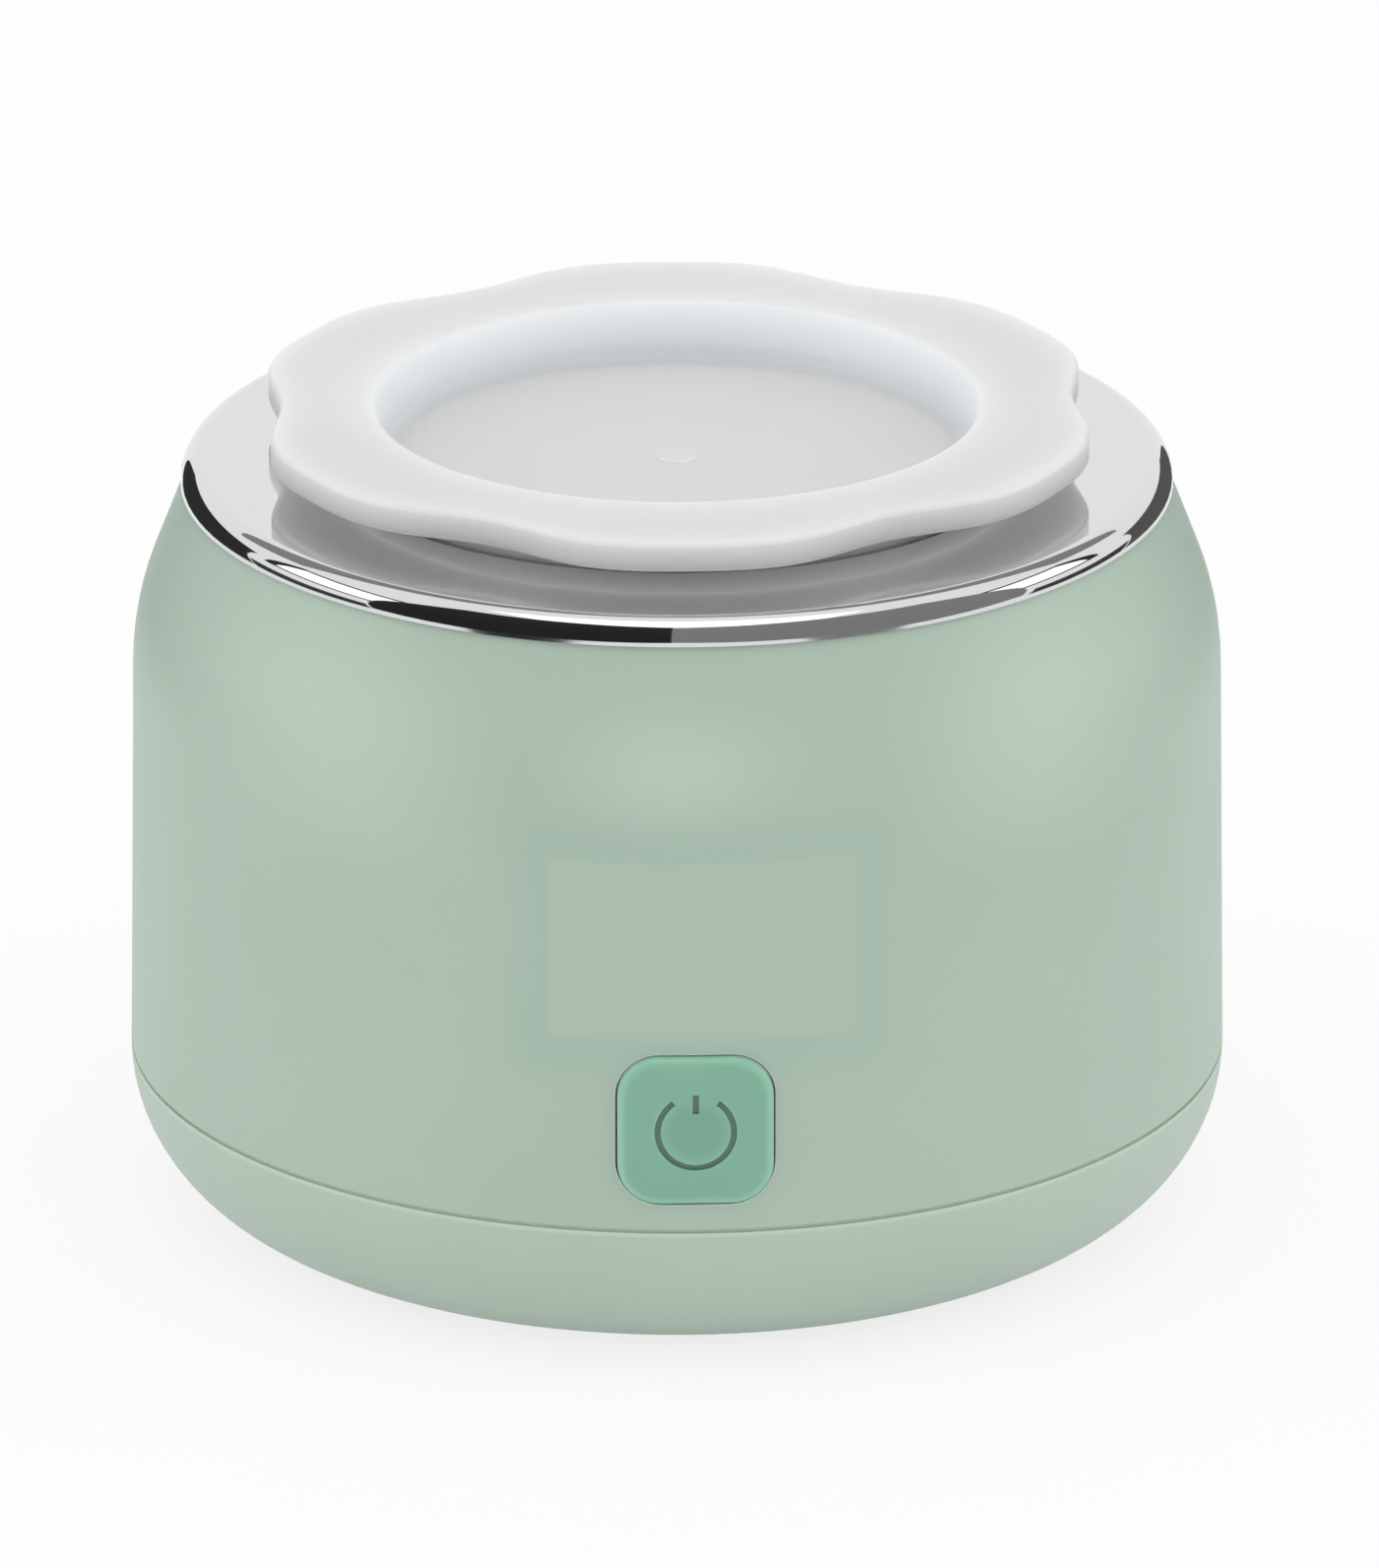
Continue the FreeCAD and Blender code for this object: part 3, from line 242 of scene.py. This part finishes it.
def make_moulded_grain():
    """The fine texture of a moulding, and a roughness that wanders a little."""
    tree, given, result = new_group(
        "moulded grain",
        [PLACE, ("Grain", NUMBER, 2500.0), ("Rough", NUMBER, 0.5), ("Spread", NUMBER, 0.08)],
        [("Height", NUMBER), ("Roughness", NUMBER)])
    feed(tree, result["Height"], noise(tree, given["Place"], given["Grain"]))
    wander = reckon(tree, "SUBTRACT", noise(tree, given["Place"], scale=110.0, detail=3.0), 0.5)
    offset = reckon(tree, "MULTIPLY", wander, given["Spread"])
    feed(tree, result["Roughness"], reckon(tree, "ADD", given["Rough"], offset, clamp=True))
    return tree


def make_colour_drift():
    """A colour that drifts slowly between two close tones."""
    tree, given, result = new_group(
        "colour drift",
        [PLACE, ("Scale", NUMBER, 40.0), ("First", COLOUR, WHITE), ("Second", COLOUR, WHITE)],
        [("Color", COLOUR)])
    cloud = noise(tree, given["Place"], given["Scale"], detail=3.0)
    share = above(tree, cloud, level=0.5, soft=0.4)
    feed(tree, result["Color"], blended(tree, share, given["First"], given["Second"]))
    return tree


def make_soft_window():
    """A box in space with soft sides: one inside, nothing outside."""
    tree, given, result = new_group(
        "soft window",
        [PLACE, CENTRE, ("Half", VECTOR, (1.0, 1.0, 1.0)), ("Soft", NUMBER, 1.0 * MM)],
        [("Mask", NUMBER)])
    offset = vector_sum(tree, "SUBTRACT", given["Place"], given["Centre"])
    distance = vector_sum(tree, "ABSOLUTE", offset)
    past = vector_sum(tree, "SUBTRACT", distance, given["Half"])
    inner = reckon(tree, "MULTIPLY", given["Soft"], -0.5)
    outer = reckon(tree, "MULTIPLY", given["Soft"], 0.5)
    mask = 1.0
    for axis in split(tree, past):
        mask = reckon(tree, "MULTIPLY", mask, between(tree, axis, inner, outer, 1.0, 0.0))
    feed(tree, result["Mask"], mask)
    return tree


def make_soft_spot():
    """A round patch in space that fades from its centre to its reach."""
    tree, given, result = new_group(
        "soft spot",
        [PLACE, CENTRE, ("Reach", VECTOR, (1.0, 1.0, 1.0))],
        [("Mask", NUMBER)])
    offset = vector_sum(tree, "SUBTRACT", given["Place"], given["Centre"])
    share = vector_sum(tree, "LENGTH", vector_sum(tree, "DIVIDE", offset, given["Reach"]))
    feed(tree, result["Mask"], between(tree, share, 0.0, 1.0, 1.0, 0.0))
    return tree


def make_round_edge():
    """The true lie of a ring's surface: flat on top, round at its outer edge and upright at its side."""
    tree, given, result = new_group(
        "round edge",
        [PLACE, ("Middle", NUMBER, 0.0), ("Level", NUMBER, 0.0)],
        [("Normal", VECTOR), ("Radius", NUMBER)])
    flat, radius = from_axis(tree, given["Place"])
    height = split(tree, given["Place"])["Z"]
    outward = reckon(tree, "MAXIMUM", reckon(tree, "SUBTRACT", radius, given["Middle"]), 0.0)
    upward = reckon(tree, "MAXIMUM", reckon(tree, "SUBTRACT", height, given["Level"]), 0.0)
    away = add(tree, "ShaderNodeVectorMath", {"Scale": outward}, operation="SCALE")
    feed(tree, away.inputs[0], vector_sum(tree, "NORMALIZE", flat))
    lift = add(tree, "ShaderNodeCombineXYZ", {"Z": upward}).outputs["Vector"]
    lie = vector_sum(tree, "ADD", away.outputs["Vector"], lift)
    feed(tree, result["Normal"], vector_sum(tree, "NORMALIZE", lie))
    feed(tree, result["Radius"], radius)
    return tree


def make_turned_lines():
    """Fine rings about the axis of the part, as a lathe or a polishing wheel leaves them."""
    tree, given, result = new_group(
        "turned lines",
        [PLACE, ("Spacing", NUMBER, 0.4 * MM), ("Waver", NUMBER, 0.5)],
        [("Height", NUMBER)])
    radius = from_axis(tree, given["Place"])[1]
    turn = reckon(tree, "DIVIDE", reckon(tree, "MULTIPLY", radius, 2 * math.pi), given["Spacing"])
    waver = reckon(tree, "MULTIPLY", noise(tree, given["Place"], scale=900.0), given["Waver"])
    wave = reckon(tree, "SINE", reckon(tree, "ADD", turn, waver))
    feed(tree, result["Height"], reckon(tree, "ADD", reckon(tree, "MULTIPLY", wave, 0.5), 0.5))
    return tree


moulded_grain = make_moulded_grain()
colour_drift = make_colour_drift()
soft_window = make_soft_window()
soft_spot = make_soft_spot()
round_edge = make_round_edge()
turned_lines = make_turned_lines()


# Finishes

class Finish:
    """A material while it is made, with the Object coordinates that its patterns follow."""

    def __init__(self, name, **plain):
        self.material = bpy.data.materials.new(name)
        self.material.use_nodes = True
        self.tree = self.material.node_tree
        self.shader = self.tree.nodes["Principled BSDF"]
        self.place = add(self.tree, "ShaderNodeTexCoord").outputs["Object"]
        self.colour = WHITE
        for label, value in plain.items():
            self.paint(label.replace("_", " "), value)

    def use(self, group, **inputs):
        """Places a group with its own values and gives its outputs."""
        node = add(self.tree, "ShaderNodeGroup", node_tree=group)
        feed(self.tree, node.inputs["Place"], self.place)
        for label, value in inputs.items():
            feed(self.tree, node.inputs[label], value)
        return node.outputs

    def paint(self, label, value):
        """Feeds one socket of the shader."""
        feed(self.tree, self.shader.inputs[label], value)

    def tint(self, mask, colour, share=1.0):
        """Lays another colour over the present one where the mask says so."""
        amount = reckon(self.tree, "MULTIPLY", mask, share)
        self.colour = blended(self.tree, amount, self.colour, colour)
        self.paint("Base Color", self.colour)

    def relief(self, height, depth):
        """Turns a height into bumps of a real depth."""
        bump = add(self.tree, "ShaderNodeBump", {"Height": height, "Distance": depth})
        self.paint("Normal", bump.outputs["Normal"])

    def axes(self):
        """The Object coordinates one by one."""
        return split(self.tree, self.place)

    def height(self):
        """How high the place lies above the table."""
        return self.axes()["Z"]

    def reach(self):
        """How far the place lies from the upright axis."""
        return from_axis(self.tree, self.place)[1]

    def offset(self, centre):
        """The way from a centre to the place."""
        return vector_sum(self.tree, "SUBTRACT", self.place, tuple(centre))


def moulded(name, first, second, rough, grain=2500.0, depth=0.006 * MM, **plain):
    """A moulded plastic or rubber: two close tones, a fine texture and a wandering roughness."""
    finish = Finish(name, **plain)
    surface = finish.use(moulded_grain, Grain=grain, Rough=rough)
    finish.colour = finish.use(colour_drift, First=first, Second=second)["Color"]
    finish.paint("Base Color", finish.colour)
    finish.paint("Roughness", surface["Roughness"])
    finish.relief(surface["Height"], depth)
    return finish


def plain_moulding(name, tone, rough, shift=0.94):
    """A plain moulding of one tone, drifting to a slightly darker one."""
    second = tuple(channel * shift for channel in tone[:3]) + (1.0,)
    return moulded(name, tone, second, rough).material


def metal(name, first, second, rough, grain, spread, drift):
    """A bare or plated metal: two close tones and a wandering roughness. Gives its finish and its grain."""
    finish = Finish(name, Metallic=1.0)
    surface = finish.use(moulded_grain, Grain=grain, Rough=rough, Spread=spread)
    finish.paint("Base Color", finish.use(colour_drift, Scale=drift, First=first, Second=second)["Color"])
    finish.paint("Roughness", surface["Roughness"])
    return finish, surface["Height"]


def from_button_core(finish):
    """How far the place lies from the square inside the button that its corners are drawn about."""
    tree = finish.tree
    distance = vector_sum(tree, "ABSOLUTE", finish.offset(button_centre))
    core = BUTTON_HALF - BUTTON_CORNER
    past = vector_sum(tree, "SUBTRACT", distance, (core, BUTTON_REACH, core))
    return vector_sum(tree, "LENGTH", vector_sum(tree, "MAXIMUM", past))


def frosted_mint():
    """The shell: frosted plastic that the display and its baffle show through faintly, with painted light in
    pale patches where the frame sits behind it.

    An olive line follows the seam, painted pale against the shade of its groove, and the walls round the
    button are painted pale against the shade of the gap.
    """
    finish = moulded("frosted_mint", MINT, MINT_PALE, rough=0.42)
    tree = finish.tree
    deep = shell_high.y / 2
    # Painted light: pale patches where light would show through the shell from the frame behind.
    for across, wide, high, share in PAINTED_GLOWS:
        centre = (across, shell_low.y, PAINTED_GLOW_LEVEL)
        glow = finish.use(soft_spot, Centre=centre, Reach=(wide, shell_high.y, high))
        finish.tint(glow["Mask"], PAINTED_GLOW_MINT, share)
    front = (display_centre.x + WINDOW_SHIFT, shell_low.y, display_centre.z)
    baffle = (baffle_half.x, deep, baffle_half.z)
    shade = finish.use(soft_window, Centre=front, Half=baffle, Soft=5 * MM)
    finish.tint(shade["Mask"], BAFFLE_SHADE, share=0.6)
    display = (display_half.x, deep, display_half.z)
    window = finish.use(soft_window, Centre=front, Half=display, Soft=0.9 * MM)
    finish.tint(window["Mask"], WINDOW_TINT, share=0.8)
    # Painted light: the seam groove is tinted a paler olive so that its shade reads faint.
    finish.tint(below(tree, finish.height(), seam + SEAM_LINE, soft=0.1 * MM), SEAM_OLIVE_PAINTED_LIGHT)
    # Painted light: the walls of the gap round the button are tinted pale against the shade in the gap.
    wall = BUTTON_CORNER + BUTTON_GAP + GAP_PAINTED_LIGHT_MARGIN
    finish.tint(below(tree, from_button_core(finish), wall, soft=0.04 * MM), GAP_PAINTED_LIGHT)
    return finish.material


def solid_mint():
    """The base: the same mint, solid behind, with a painted highlight along its upper rim."""
    finish = moulded("solid_mint", BASE_MINT, BASE_MINT_PALE, rough=0.45)
    # Painted highlight: a pale line along the base's upper rim.
    rim = above(finish.tree, finish.height(), seam - RIM_HIGHLIGHT_DEPTH, soft=0.4 * MM)
    finish.tint(rim, RIM_HIGHLIGHT_MINT, share=0.8)
    return finish.material


def power_mark(finish, offset, radius):
    """A mask of the power mark: a ring that is open at the top, with an upright bar in the opening."""
    tree = finish.tree
    from_line = reckon(tree, "ABSOLUTE", reckon(tree, "SUBTRACT", radius, MARK_RADIUS))
    whole = below(tree, from_line, MARK_HALF_LINE, MARK_SOFT)
    way = split(tree, offset)
    lean = reckon(tree, "ARCTAN2", reckon(tree, "ABSOLUTE", way["X"]), way["Z"])
    ring = reckon(tree, "MULTIPLY", whole, reckon(tree, "GREATER_THAN", lean, MARK_OPENING))
    bar_centre = (button_centre.x, button_low.y, button_centre.z + MARK_BAR_RISE)
    bar_half = (MARK_HALF_LINE, MARK_DEPTH, MARK_BAR_HALF)
    bar = finish.use(soft_window, Centre=bar_centre, Half=bar_half, Soft=MARK_SOFT)["Mask"]
    return reckon(tree, "MAXIMUM", ring, bar)


def glazed_green():
    """The push button: smooth deeper green that light passes into, with its sunk mark darkened.

    Its edge carries a painted highlight, its sides are painted pale against the shade of the gap round it,
    and its middle carries painted shade.
    """
    finish = moulded("glazed_green", BUTTON_GREEN, BUTTON_PALE, rough=0.24, depth=0.002 * MM,
                     Subsurface_Weight=1.0, Subsurface_Scale=1.0 * MM, Subsurface_Radius=(0.8, 1.0, 0.9))
    tree = finish.tree
    highlight_brim = BUTTON_CORNER - BUTTON_HIGHLIGHT_BRIM
    # Painted highlight: a paler band along the edge of the button's face.
    finish.tint(above(tree, from_button_core(finish), highlight_brim, soft=0.6 * MM), BUTTON_EDGE_HIGHLIGHT)
    # Painted light: the sides of the button, inside the gap, are tinted pale against its shade.
    flank = button_low.y + BUTTON_FLANK
    finish.tint(above(tree, finish.axes()["Y"], flank, soft=0.1 * MM), GAP_PAINTED_LIGHT)
    offset = finish.offset(button_centre)
    radius = vector_sum(tree, "LENGTH", vector_sum(tree, "MULTIPLY", offset, (1.0, 0.0, 1.0)))
    # Painted shade: the dished middle of the face is tinted darker.
    finish.tint(below(tree, radius, BUTTON_SHADE_RADIUS, soft=1.2 * MM), BUTTON_MIDDLE_SHADE)
    finish.tint(power_mark(finish, offset, radius), MARK_GREEN)
    return finish.material


def milk_silicone():
    """The lid: milky soft silicone that light passes into.

    Painted light makes it paler inside its dish and under its flange, and paler round the bluer wall of the
    dish; painted shade makes it greyer along the side of the flange.
    """
    finish = moulded("milk_silicone", MILK_WHITE, MILK_WARM, rough=0.40, depth=0.003 * MM,
                     Subsurface_Weight=1.0, Subsurface_Scale=7 * MM, Subsurface_Radius=(1.0, 0.97, 0.95))
    tree = finish.tree
    radius = finish.reach()
    height = finish.height()
    # Painted light: the floor of the dish is tinted paler against its shade.
    finish.tint(below(tree, radius, DISH_FLOOR, soft=1.4 * MM), MILK_PAINTED_LIGHT)
    past_floor = above(tree, radius, DISH_FLOOR, soft=1.4 * MM)
    before_rim = below(tree, radius, DISH_WALL, soft=0.8 * MM)
    upper = above(tree, height, DISH_LEVEL, soft=1.5 * MM)
    wall = reckon(tree, "MULTIPLY", reckon(tree, "MULTIPLY", past_floor, before_rim), upper)
    # The dish wall is tinted a little blue, its own colour, and paler as painted light against its shade.
    finish.tint(wall, MILK_BLUE_PAINTED_LIGHT)
    flange = above(tree, radius, FLANGE_START, soft=0.8 * MM)
    side = below(tree, height, lid_high.z - FLANGE_SIDE, soft=0.4 * MM)
    under = below(tree, height, lid_high.z - FLANGE_UNDER, soft=0.3 * MM)
    # Painted shade: the side of the flange is tinted greyer.
    finish.tint(reckon(tree, "MULTIPLY", flange, side), MILK_SIDE_SHADE)
    # Painted light: the underside of the flange is tinted paler against its shade.
    finish.tint(reckon(tree, "MULTIPLY", flange, under), MILK_PAINTED_LIGHT)
    return finish.material


def mirror_chrome():
    """The ring round the mouth: plated and polished, its mirror as smooth as its true round edge."""
    finish = Finish("mirror_chrome", Base_Color=CHROME, Metallic=1.0)
    tree = finish.tree
    surface = finish.use(moulded_grain, Grain=160.0, Rough=0.035, Spread=0.03)
    finish.paint("Roughness", surface["Roughness"])
    edge = finish.use(round_edge, Middle=ring_high.x - RING_ROUND, Level=ring_high.z - RING_ROUND)
    outer = reckon(tree, "GREATER_THAN", edge["Radius"], ring_high.x - RING_ROUND * 2)
    own = add(tree, "ShaderNodeNewGeometry").outputs["Normal"]
    finish.paint("Normal", blended(tree, outer, own, edge["Normal"], kind="VECTOR"))
    return finish.material


def spun_steel():
    """The cup and its shield: pressed sheet with the rings of the spinning tool."""
    finish, _ = metal("spun_steel", STEEL, STEEL_DARK, rough=0.28, grain=300.0, spread=0.12, drift=60.0)
    finish.relief(finish.use(turned_lines, Spacing=0.35 * MM)["Height"], 0.003 * MM)
    return finish.material


def plated(name, first, second, rough):
    """A small plated metal piece."""
    finish, height = metal(name, first, second, rough, grain=900.0, spread=0.15, drift=300.0)
    finish.relief(height, 0.003 * MM)
    return finish.material


def etched_film():
    """The film heater: amber film with the rings of its etched track."""
    finish = Finish("etched_film", Roughness=0.35)
    rings = finish.use(turned_lines, Spacing=2.4 * MM, Waver=0.0)["Height"]
    track = above(finish.tree, rings, level=0.5, soft=0.1)
    finish.paint("Base Color", blended(finish.tree, track, AMBER_FILM, AMBER_TRACE))
    finish.relief(track, 0.02 * MM)
    return finish.material


def pressed_felt():
    """The insulation pad: pale pressed fibres."""
    finish = moulded("pressed_felt", FELT_PALE, FELT_DARK, rough=0.95, grain=1400.0, depth=0.08 * MM)
    return finish.material


def circuit_board():
    """The boards: green lacquer over raised tracks."""
    finish = Finish("circuit_board")
    surface = finish.use(moulded_grain, Grain=700.0, Rough=0.32)
    pattern = {"Vector": finish.place, "Scale": 420.0, "Mortar Size": 0.06,
               "Color1": BOARD_GREEN, "Color2": BOARD_GREEN, "Mortar": BOARD_TRACE}
    tracks = add(finish.tree, "ShaderNodeTexBrick", pattern)
    finish.paint("Base Color", tracks.outputs["Color"])
    finish.paint("Roughness", surface["Roughness"])
    finish.relief(tracks.outputs["Fac"], 0.02 * MM)
    return finish.material


def shrink_wrap():
    """The cells: blue shrink wrap, bare metal on their ends."""
    finish = moulded("shrink_wrap", WRAP_BLUE, WRAP_BLUE_PALE, rough=0.30, grain=400.0, depth=0.01 * MM)
    along = reckon(finish.tree, "ABSOLUTE", finish.axes()["X"])
    bare = above(finish.tree, along, cell_high.x - CELL_BARE_END, soft=0.1 * MM)
    finish.tint(bare, NICKEL)
    finish.paint("Metallic", bare)
    return finish.material


def lead_wire():
    """The leads: red on one side and black on the other."""
    finish = moulded("lead_wire", LEAD_RED, LEAD_RED_DARK, rough=0.4)
    axes = finish.axes()
    across = reckon(finish.tree, "ADD", axes["X"], axes["Y"])
    finish.tint(reckon(finish.tree, "LESS_THAN", across, -0.01 * MM), LEAD_BLACK)
    return finish.material


# Finishes by the name of the CAD material
FINISHES = {
    "shell_plastic": frosted_mint(),
    "base_plastic": solid_mint(),
    "button_plastic": glazed_green(),
    "lid_silicone": milk_silicone(),
    "ring_chrome": mirror_chrome(),
    "cup_steel": spun_steel(),
    "heater_film": etched_film(),
    "felt": pressed_felt(),
    "cell_wrap": shrink_wrap(),
    "nickel": plated("nickel_strip", NICKEL, NICKEL_DARK, rough=0.3),
    "port_steel": plated("port_steel", PORT_STEEL, PORT_STEEL_DARK, rough=0.25),
    "screw_steel": plated("screw_zinc", ZINC, ZINC_DARK, rough=0.3),
    "board_green": circuit_board(),
    "chip_black": plain_moulding("chip_black", CHIP_BLACK, rough=0.45, shift=0.8),
    "lead_insulation": lead_wire(),
}

# Plain mouldings by the name of the CAD material: name of the finish, tone and roughness
PLAIN_MOULDINGS = {
    "foot_silicone": ("foot_rubber", (0.36, 0.45, 0.38, 1.0), 0.7),
    "collar_plastic": ("collar_white", (0.72, 0.72, 0.70, 1.0), 0.38),
    "seal_silicone": ("seal_rubber", (0.62, 0.63, 0.63, 1.0), 0.55),
    "sensor_epoxy": ("dark_epoxy", (0.03, 0.035, 0.05, 1.0), 0.3),
    "frame_plastic": ("frame_grey", (0.30, 0.31, 0.31, 1.0), 0.5),
    "connector_white": ("nylon_white", (0.68, 0.66, 0.60, 1.0), 0.42),
    "display_white": ("display_white", (0.70, 0.72, 0.70, 1.0), 0.35),
    "baffle_grey": ("baffle_grey", (0.10, 0.11, 0.11, 1.0), 0.55),
    "plunger_white": ("plunger_white", (0.70, 0.70, 0.68, 1.0), 0.4),
}
for cad_material, (finish_name, tone, rough) in PLAIN_MOULDINGS.items():
    FINISHES[cad_material] = plain_moulding(finish_name, tone, rough)

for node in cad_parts.values():
    for material_slot in node.material_slots:
        material_slot.material = FINISHES[material_slot.material.name]


# Studio

FILL_LIGHT = 0.84           # strength of the white world as a light
FLOOR_SIZE = 9.0
FLOOR_GLOW = 0.80           # how far the seen floor is lifted to plain white
CARD_DISTANCE = 0.2         # from the axis of the object to a standing card
CARD_ROUGHNESS = 0.9

# Soft lights: name, azimuth, elevation, distance, width, height, watts, and whether metal mirrors them
LIGHTS = [
    ("top_light", 0.0, 80.0, 1.8, 1.4, 1.0, 3.0, True),
    ("left_light", -90.0, 26.0, 2.4, 1.35, 1.0, 6.0, True),
    ("right_light", 90.0, 26.0, 2.4, 1.35, 1.0, 6.0, True),
    ("front_fill", 0.0, 30.0, 2.2, 1.6, 1.0, 2.0, False),
]

# Cards behind and round the lights: name, azimuth, elevation, distance, width, height and tone
FAR_CARDS = [
    ("left_frame", -90.0, 26.0, 2.5, 1.8, 1.35, 0.02),
    ("right_frame", 90.0, 26.0, 2.5, 1.8, 1.35, 0.02),
    ("rear_card", 180.0, 48.0, 2.6, 4.0, 0.9, 0.30),
]

# Cards that stand near the object: name, first and last azimuth, elevation of the top and tone
STANDING_CARDS = [
    ("left_rear_card", -152.0, -107.0, 16.0, 0.02),
    ("left_low_card", -106.0, -70.0, -5.0, 0.05),
    ("front_card_left", -70.0, -3.0, 60.0, 0.01),
    ("front_card_right", -3.0, 78.0, 60.0, 0.26),
    ("right_low_card", 79.0, 113.0, -5.0, 0.05),
    ("right_rear_card", 114.0, 152.0, 14.0, 0.10),
]


def seen_directly(tree):
    """One for rays from the camera, straight or by way of a mirror or glass, and nothing for other light."""
    path = add(tree, "ShaderNodeLightPath").outputs
    seen = reckon(tree, "MAXIMUM", path["Is Camera Ray"], path["Is Glossy Ray"])
    return reckon(tree, "MAXIMUM", seen, path["Is Transmission Ray"])


def studio_world():
    """Even white light from all round, seen as plain white."""
    world = bpy.data.worlds.new("studio")
    bpy.context.scene.world = world
    world.use_nodes = True
    tree = world.node_tree
    background = tree.nodes["Background"]
    feed(tree, background.inputs["Color"], WHITE)
    strength = between(tree, seen_directly(tree), 0.0, 1.0, FILL_LIGHT, 1.0)
    feed(tree, background.inputs["Strength"], strength)


def new_plane(name, size, place):
    """A level square."""
    bpy.ops.object.select_all(action="DESELECT")
    bpy.ops.mesh.primitive_plane_add(size=size, location=place)
    plane = bpy.context.object
    plane.name = name
    return plane


def pale_floor():
    """The white table, lifted towards plain white where it is seen, so that only the shadow shows."""
    floor = new_plane("floor", FLOOR_SIZE, (0.0, 0.0, 0.0))
    finish = moulded("floor_white", FLOOR_TONE, FLOOR_TONE_SECOND, rough=0.9, grain=400.0)
    tree = finish.tree
    share = reckon(tree, "MULTIPLY", seen_directly(tree), FLOOR_GLOW)
    glow = add(tree, "ShaderNodeEmission", {"Color": WHITE, "Strength": 1.0})
    mixed = add(tree, "ShaderNodeMixShader", {"Fac": share})
    feed(tree, mixed.inputs[1], finish.shader.outputs["BSDF"])
    feed(tree, mixed.inputs[2], glow.outputs["Emission"])
    feed(tree, tree.nodes["Material Output"].inputs["Surface"], mixed.outputs["Shader"])
    floor.data.materials.append(finish.material)


def direction(azimuth, elevation):
    """A unit vector: azimuth 0 is the front, 90 the right."""
    turn = math.radians(azimuth)
    rise = math.radians(elevation)
    level = math.cos(rise)
    return Vector((math.sin(turn) * level, -math.cos(turn) * level, math.sin(rise)))


def soft_box(name, azimuth, elevation, distance, width, height, watts, mirrored):
    """A soft light that faces the object."""
    lamp = bpy.data.lights.new(name, "AREA")
    lamp.shape = "RECTANGLE"
    lamp.size = width
    lamp.size_y = height
    lamp.energy = watts
    light = bpy.data.objects.new(name, lamp)
    bpy.context.scene.collection.objects.link(light)
    away = direction(azimuth, elevation)
    light.location = away * distance
    light.rotation_euler = away.to_track_quat("Z", "Y").to_euler()
    light.visible_camera = False
    light.visible_glossy = mirrored


def mirrored_card(name, place, facing, width, height, tone):
    """A card that only changes what bright metal mirrors: it throws no shadow and no light."""
    card = new_plane(name, 1.0, place)
    card.scale = (width, height, 1.0)
    card.rotation_euler = facing.to_track_quat("Z", "Y").to_euler()
    card.data.materials.append(plain_moulding(name, (tone, tone, tone, 1.0), CARD_ROUGHNESS))
    card.visible_camera = False
    card.visible_diffuse = False
    card.visible_shadow = False


def far_card(name, azimuth, elevation, distance, width, height, tone):
    """A card as far away as the lights, facing the object."""
    away = direction(azimuth, elevation)
    mirrored_card(name, away * distance, away, width, height, tone)


def standing_card(name, start, end, top, tone):
    """A card that stands on the table between two azimuths, up to an elevation seen from the ring's top."""
    away = direction((start + end) / 2, 0.0)
    width = 2 * CARD_DISTANCE * math.tan(math.radians(abs(end - start) / 2))
    height = ring_high.z + CARD_DISTANCE * math.tan(math.radians(top))
    place = away * CARD_DISTANCE + Vector((0.0, 0.0, height / 2))
    mirrored_card(name, place, away, width, height, tone)


studio_world()
pale_floor()
for light in LIGHTS:
    soft_box(*light)
for card in FAR_CARDS:
    far_card(*card)
for card in STANDING_CARDS:
    standing_card(*card)


# Camera

IMAGE_WIDTH = 1400
IMAGE_HEIGHT = 1592
SENSOR = 36.0
CAMERA_DISTANCE = 1.5
CAMERA_AZIMUTH = -1.9
CAMERA_ELEVATION = 20.58
FOCAL_PIXELS = 18950.0
CAMERA_TARGET = Vector((0.0, 0.0, 30.8 * MM))
TARGET_PIXEL = (687.3, 836.0)


def product_camera():
    """The long lens of a product shot, aimed so that the target falls on its place in the frame."""
    data = bpy.data.cameras.new("camera")
    data.sensor_width = SENSOR
    data.lens = SENSOR * FOCAL_PIXELS / IMAGE_HEIGHT
    camera = bpy.data.objects.new("camera", data)
    bpy.context.scene.collection.objects.link(camera)
    bpy.context.scene.camera = camera
    away = direction(CAMERA_AZIMUTH, CAMERA_ELEVATION)
    right = Vector((0.0, 0.0, 1.0)).cross(away).normalized()
    up = away.cross(right)
    pixel = CAMERA_DISTANCE / FOCAL_PIXELS
    aim = CAMERA_TARGET + right * (IMAGE_WIDTH / 2 - TARGET_PIXEL[0]) * pixel
    aim += up * (TARGET_PIXEL[1] - IMAGE_HEIGHT / 2) * pixel
    camera.location = CAMERA_TARGET + away * CAMERA_DISTANCE
    camera.rotation_euler = (aim - camera.location).to_track_quat("-Z", "Y").to_euler()


product_camera()
bpy.context.scene.view_settings.view_transform = "Standard"
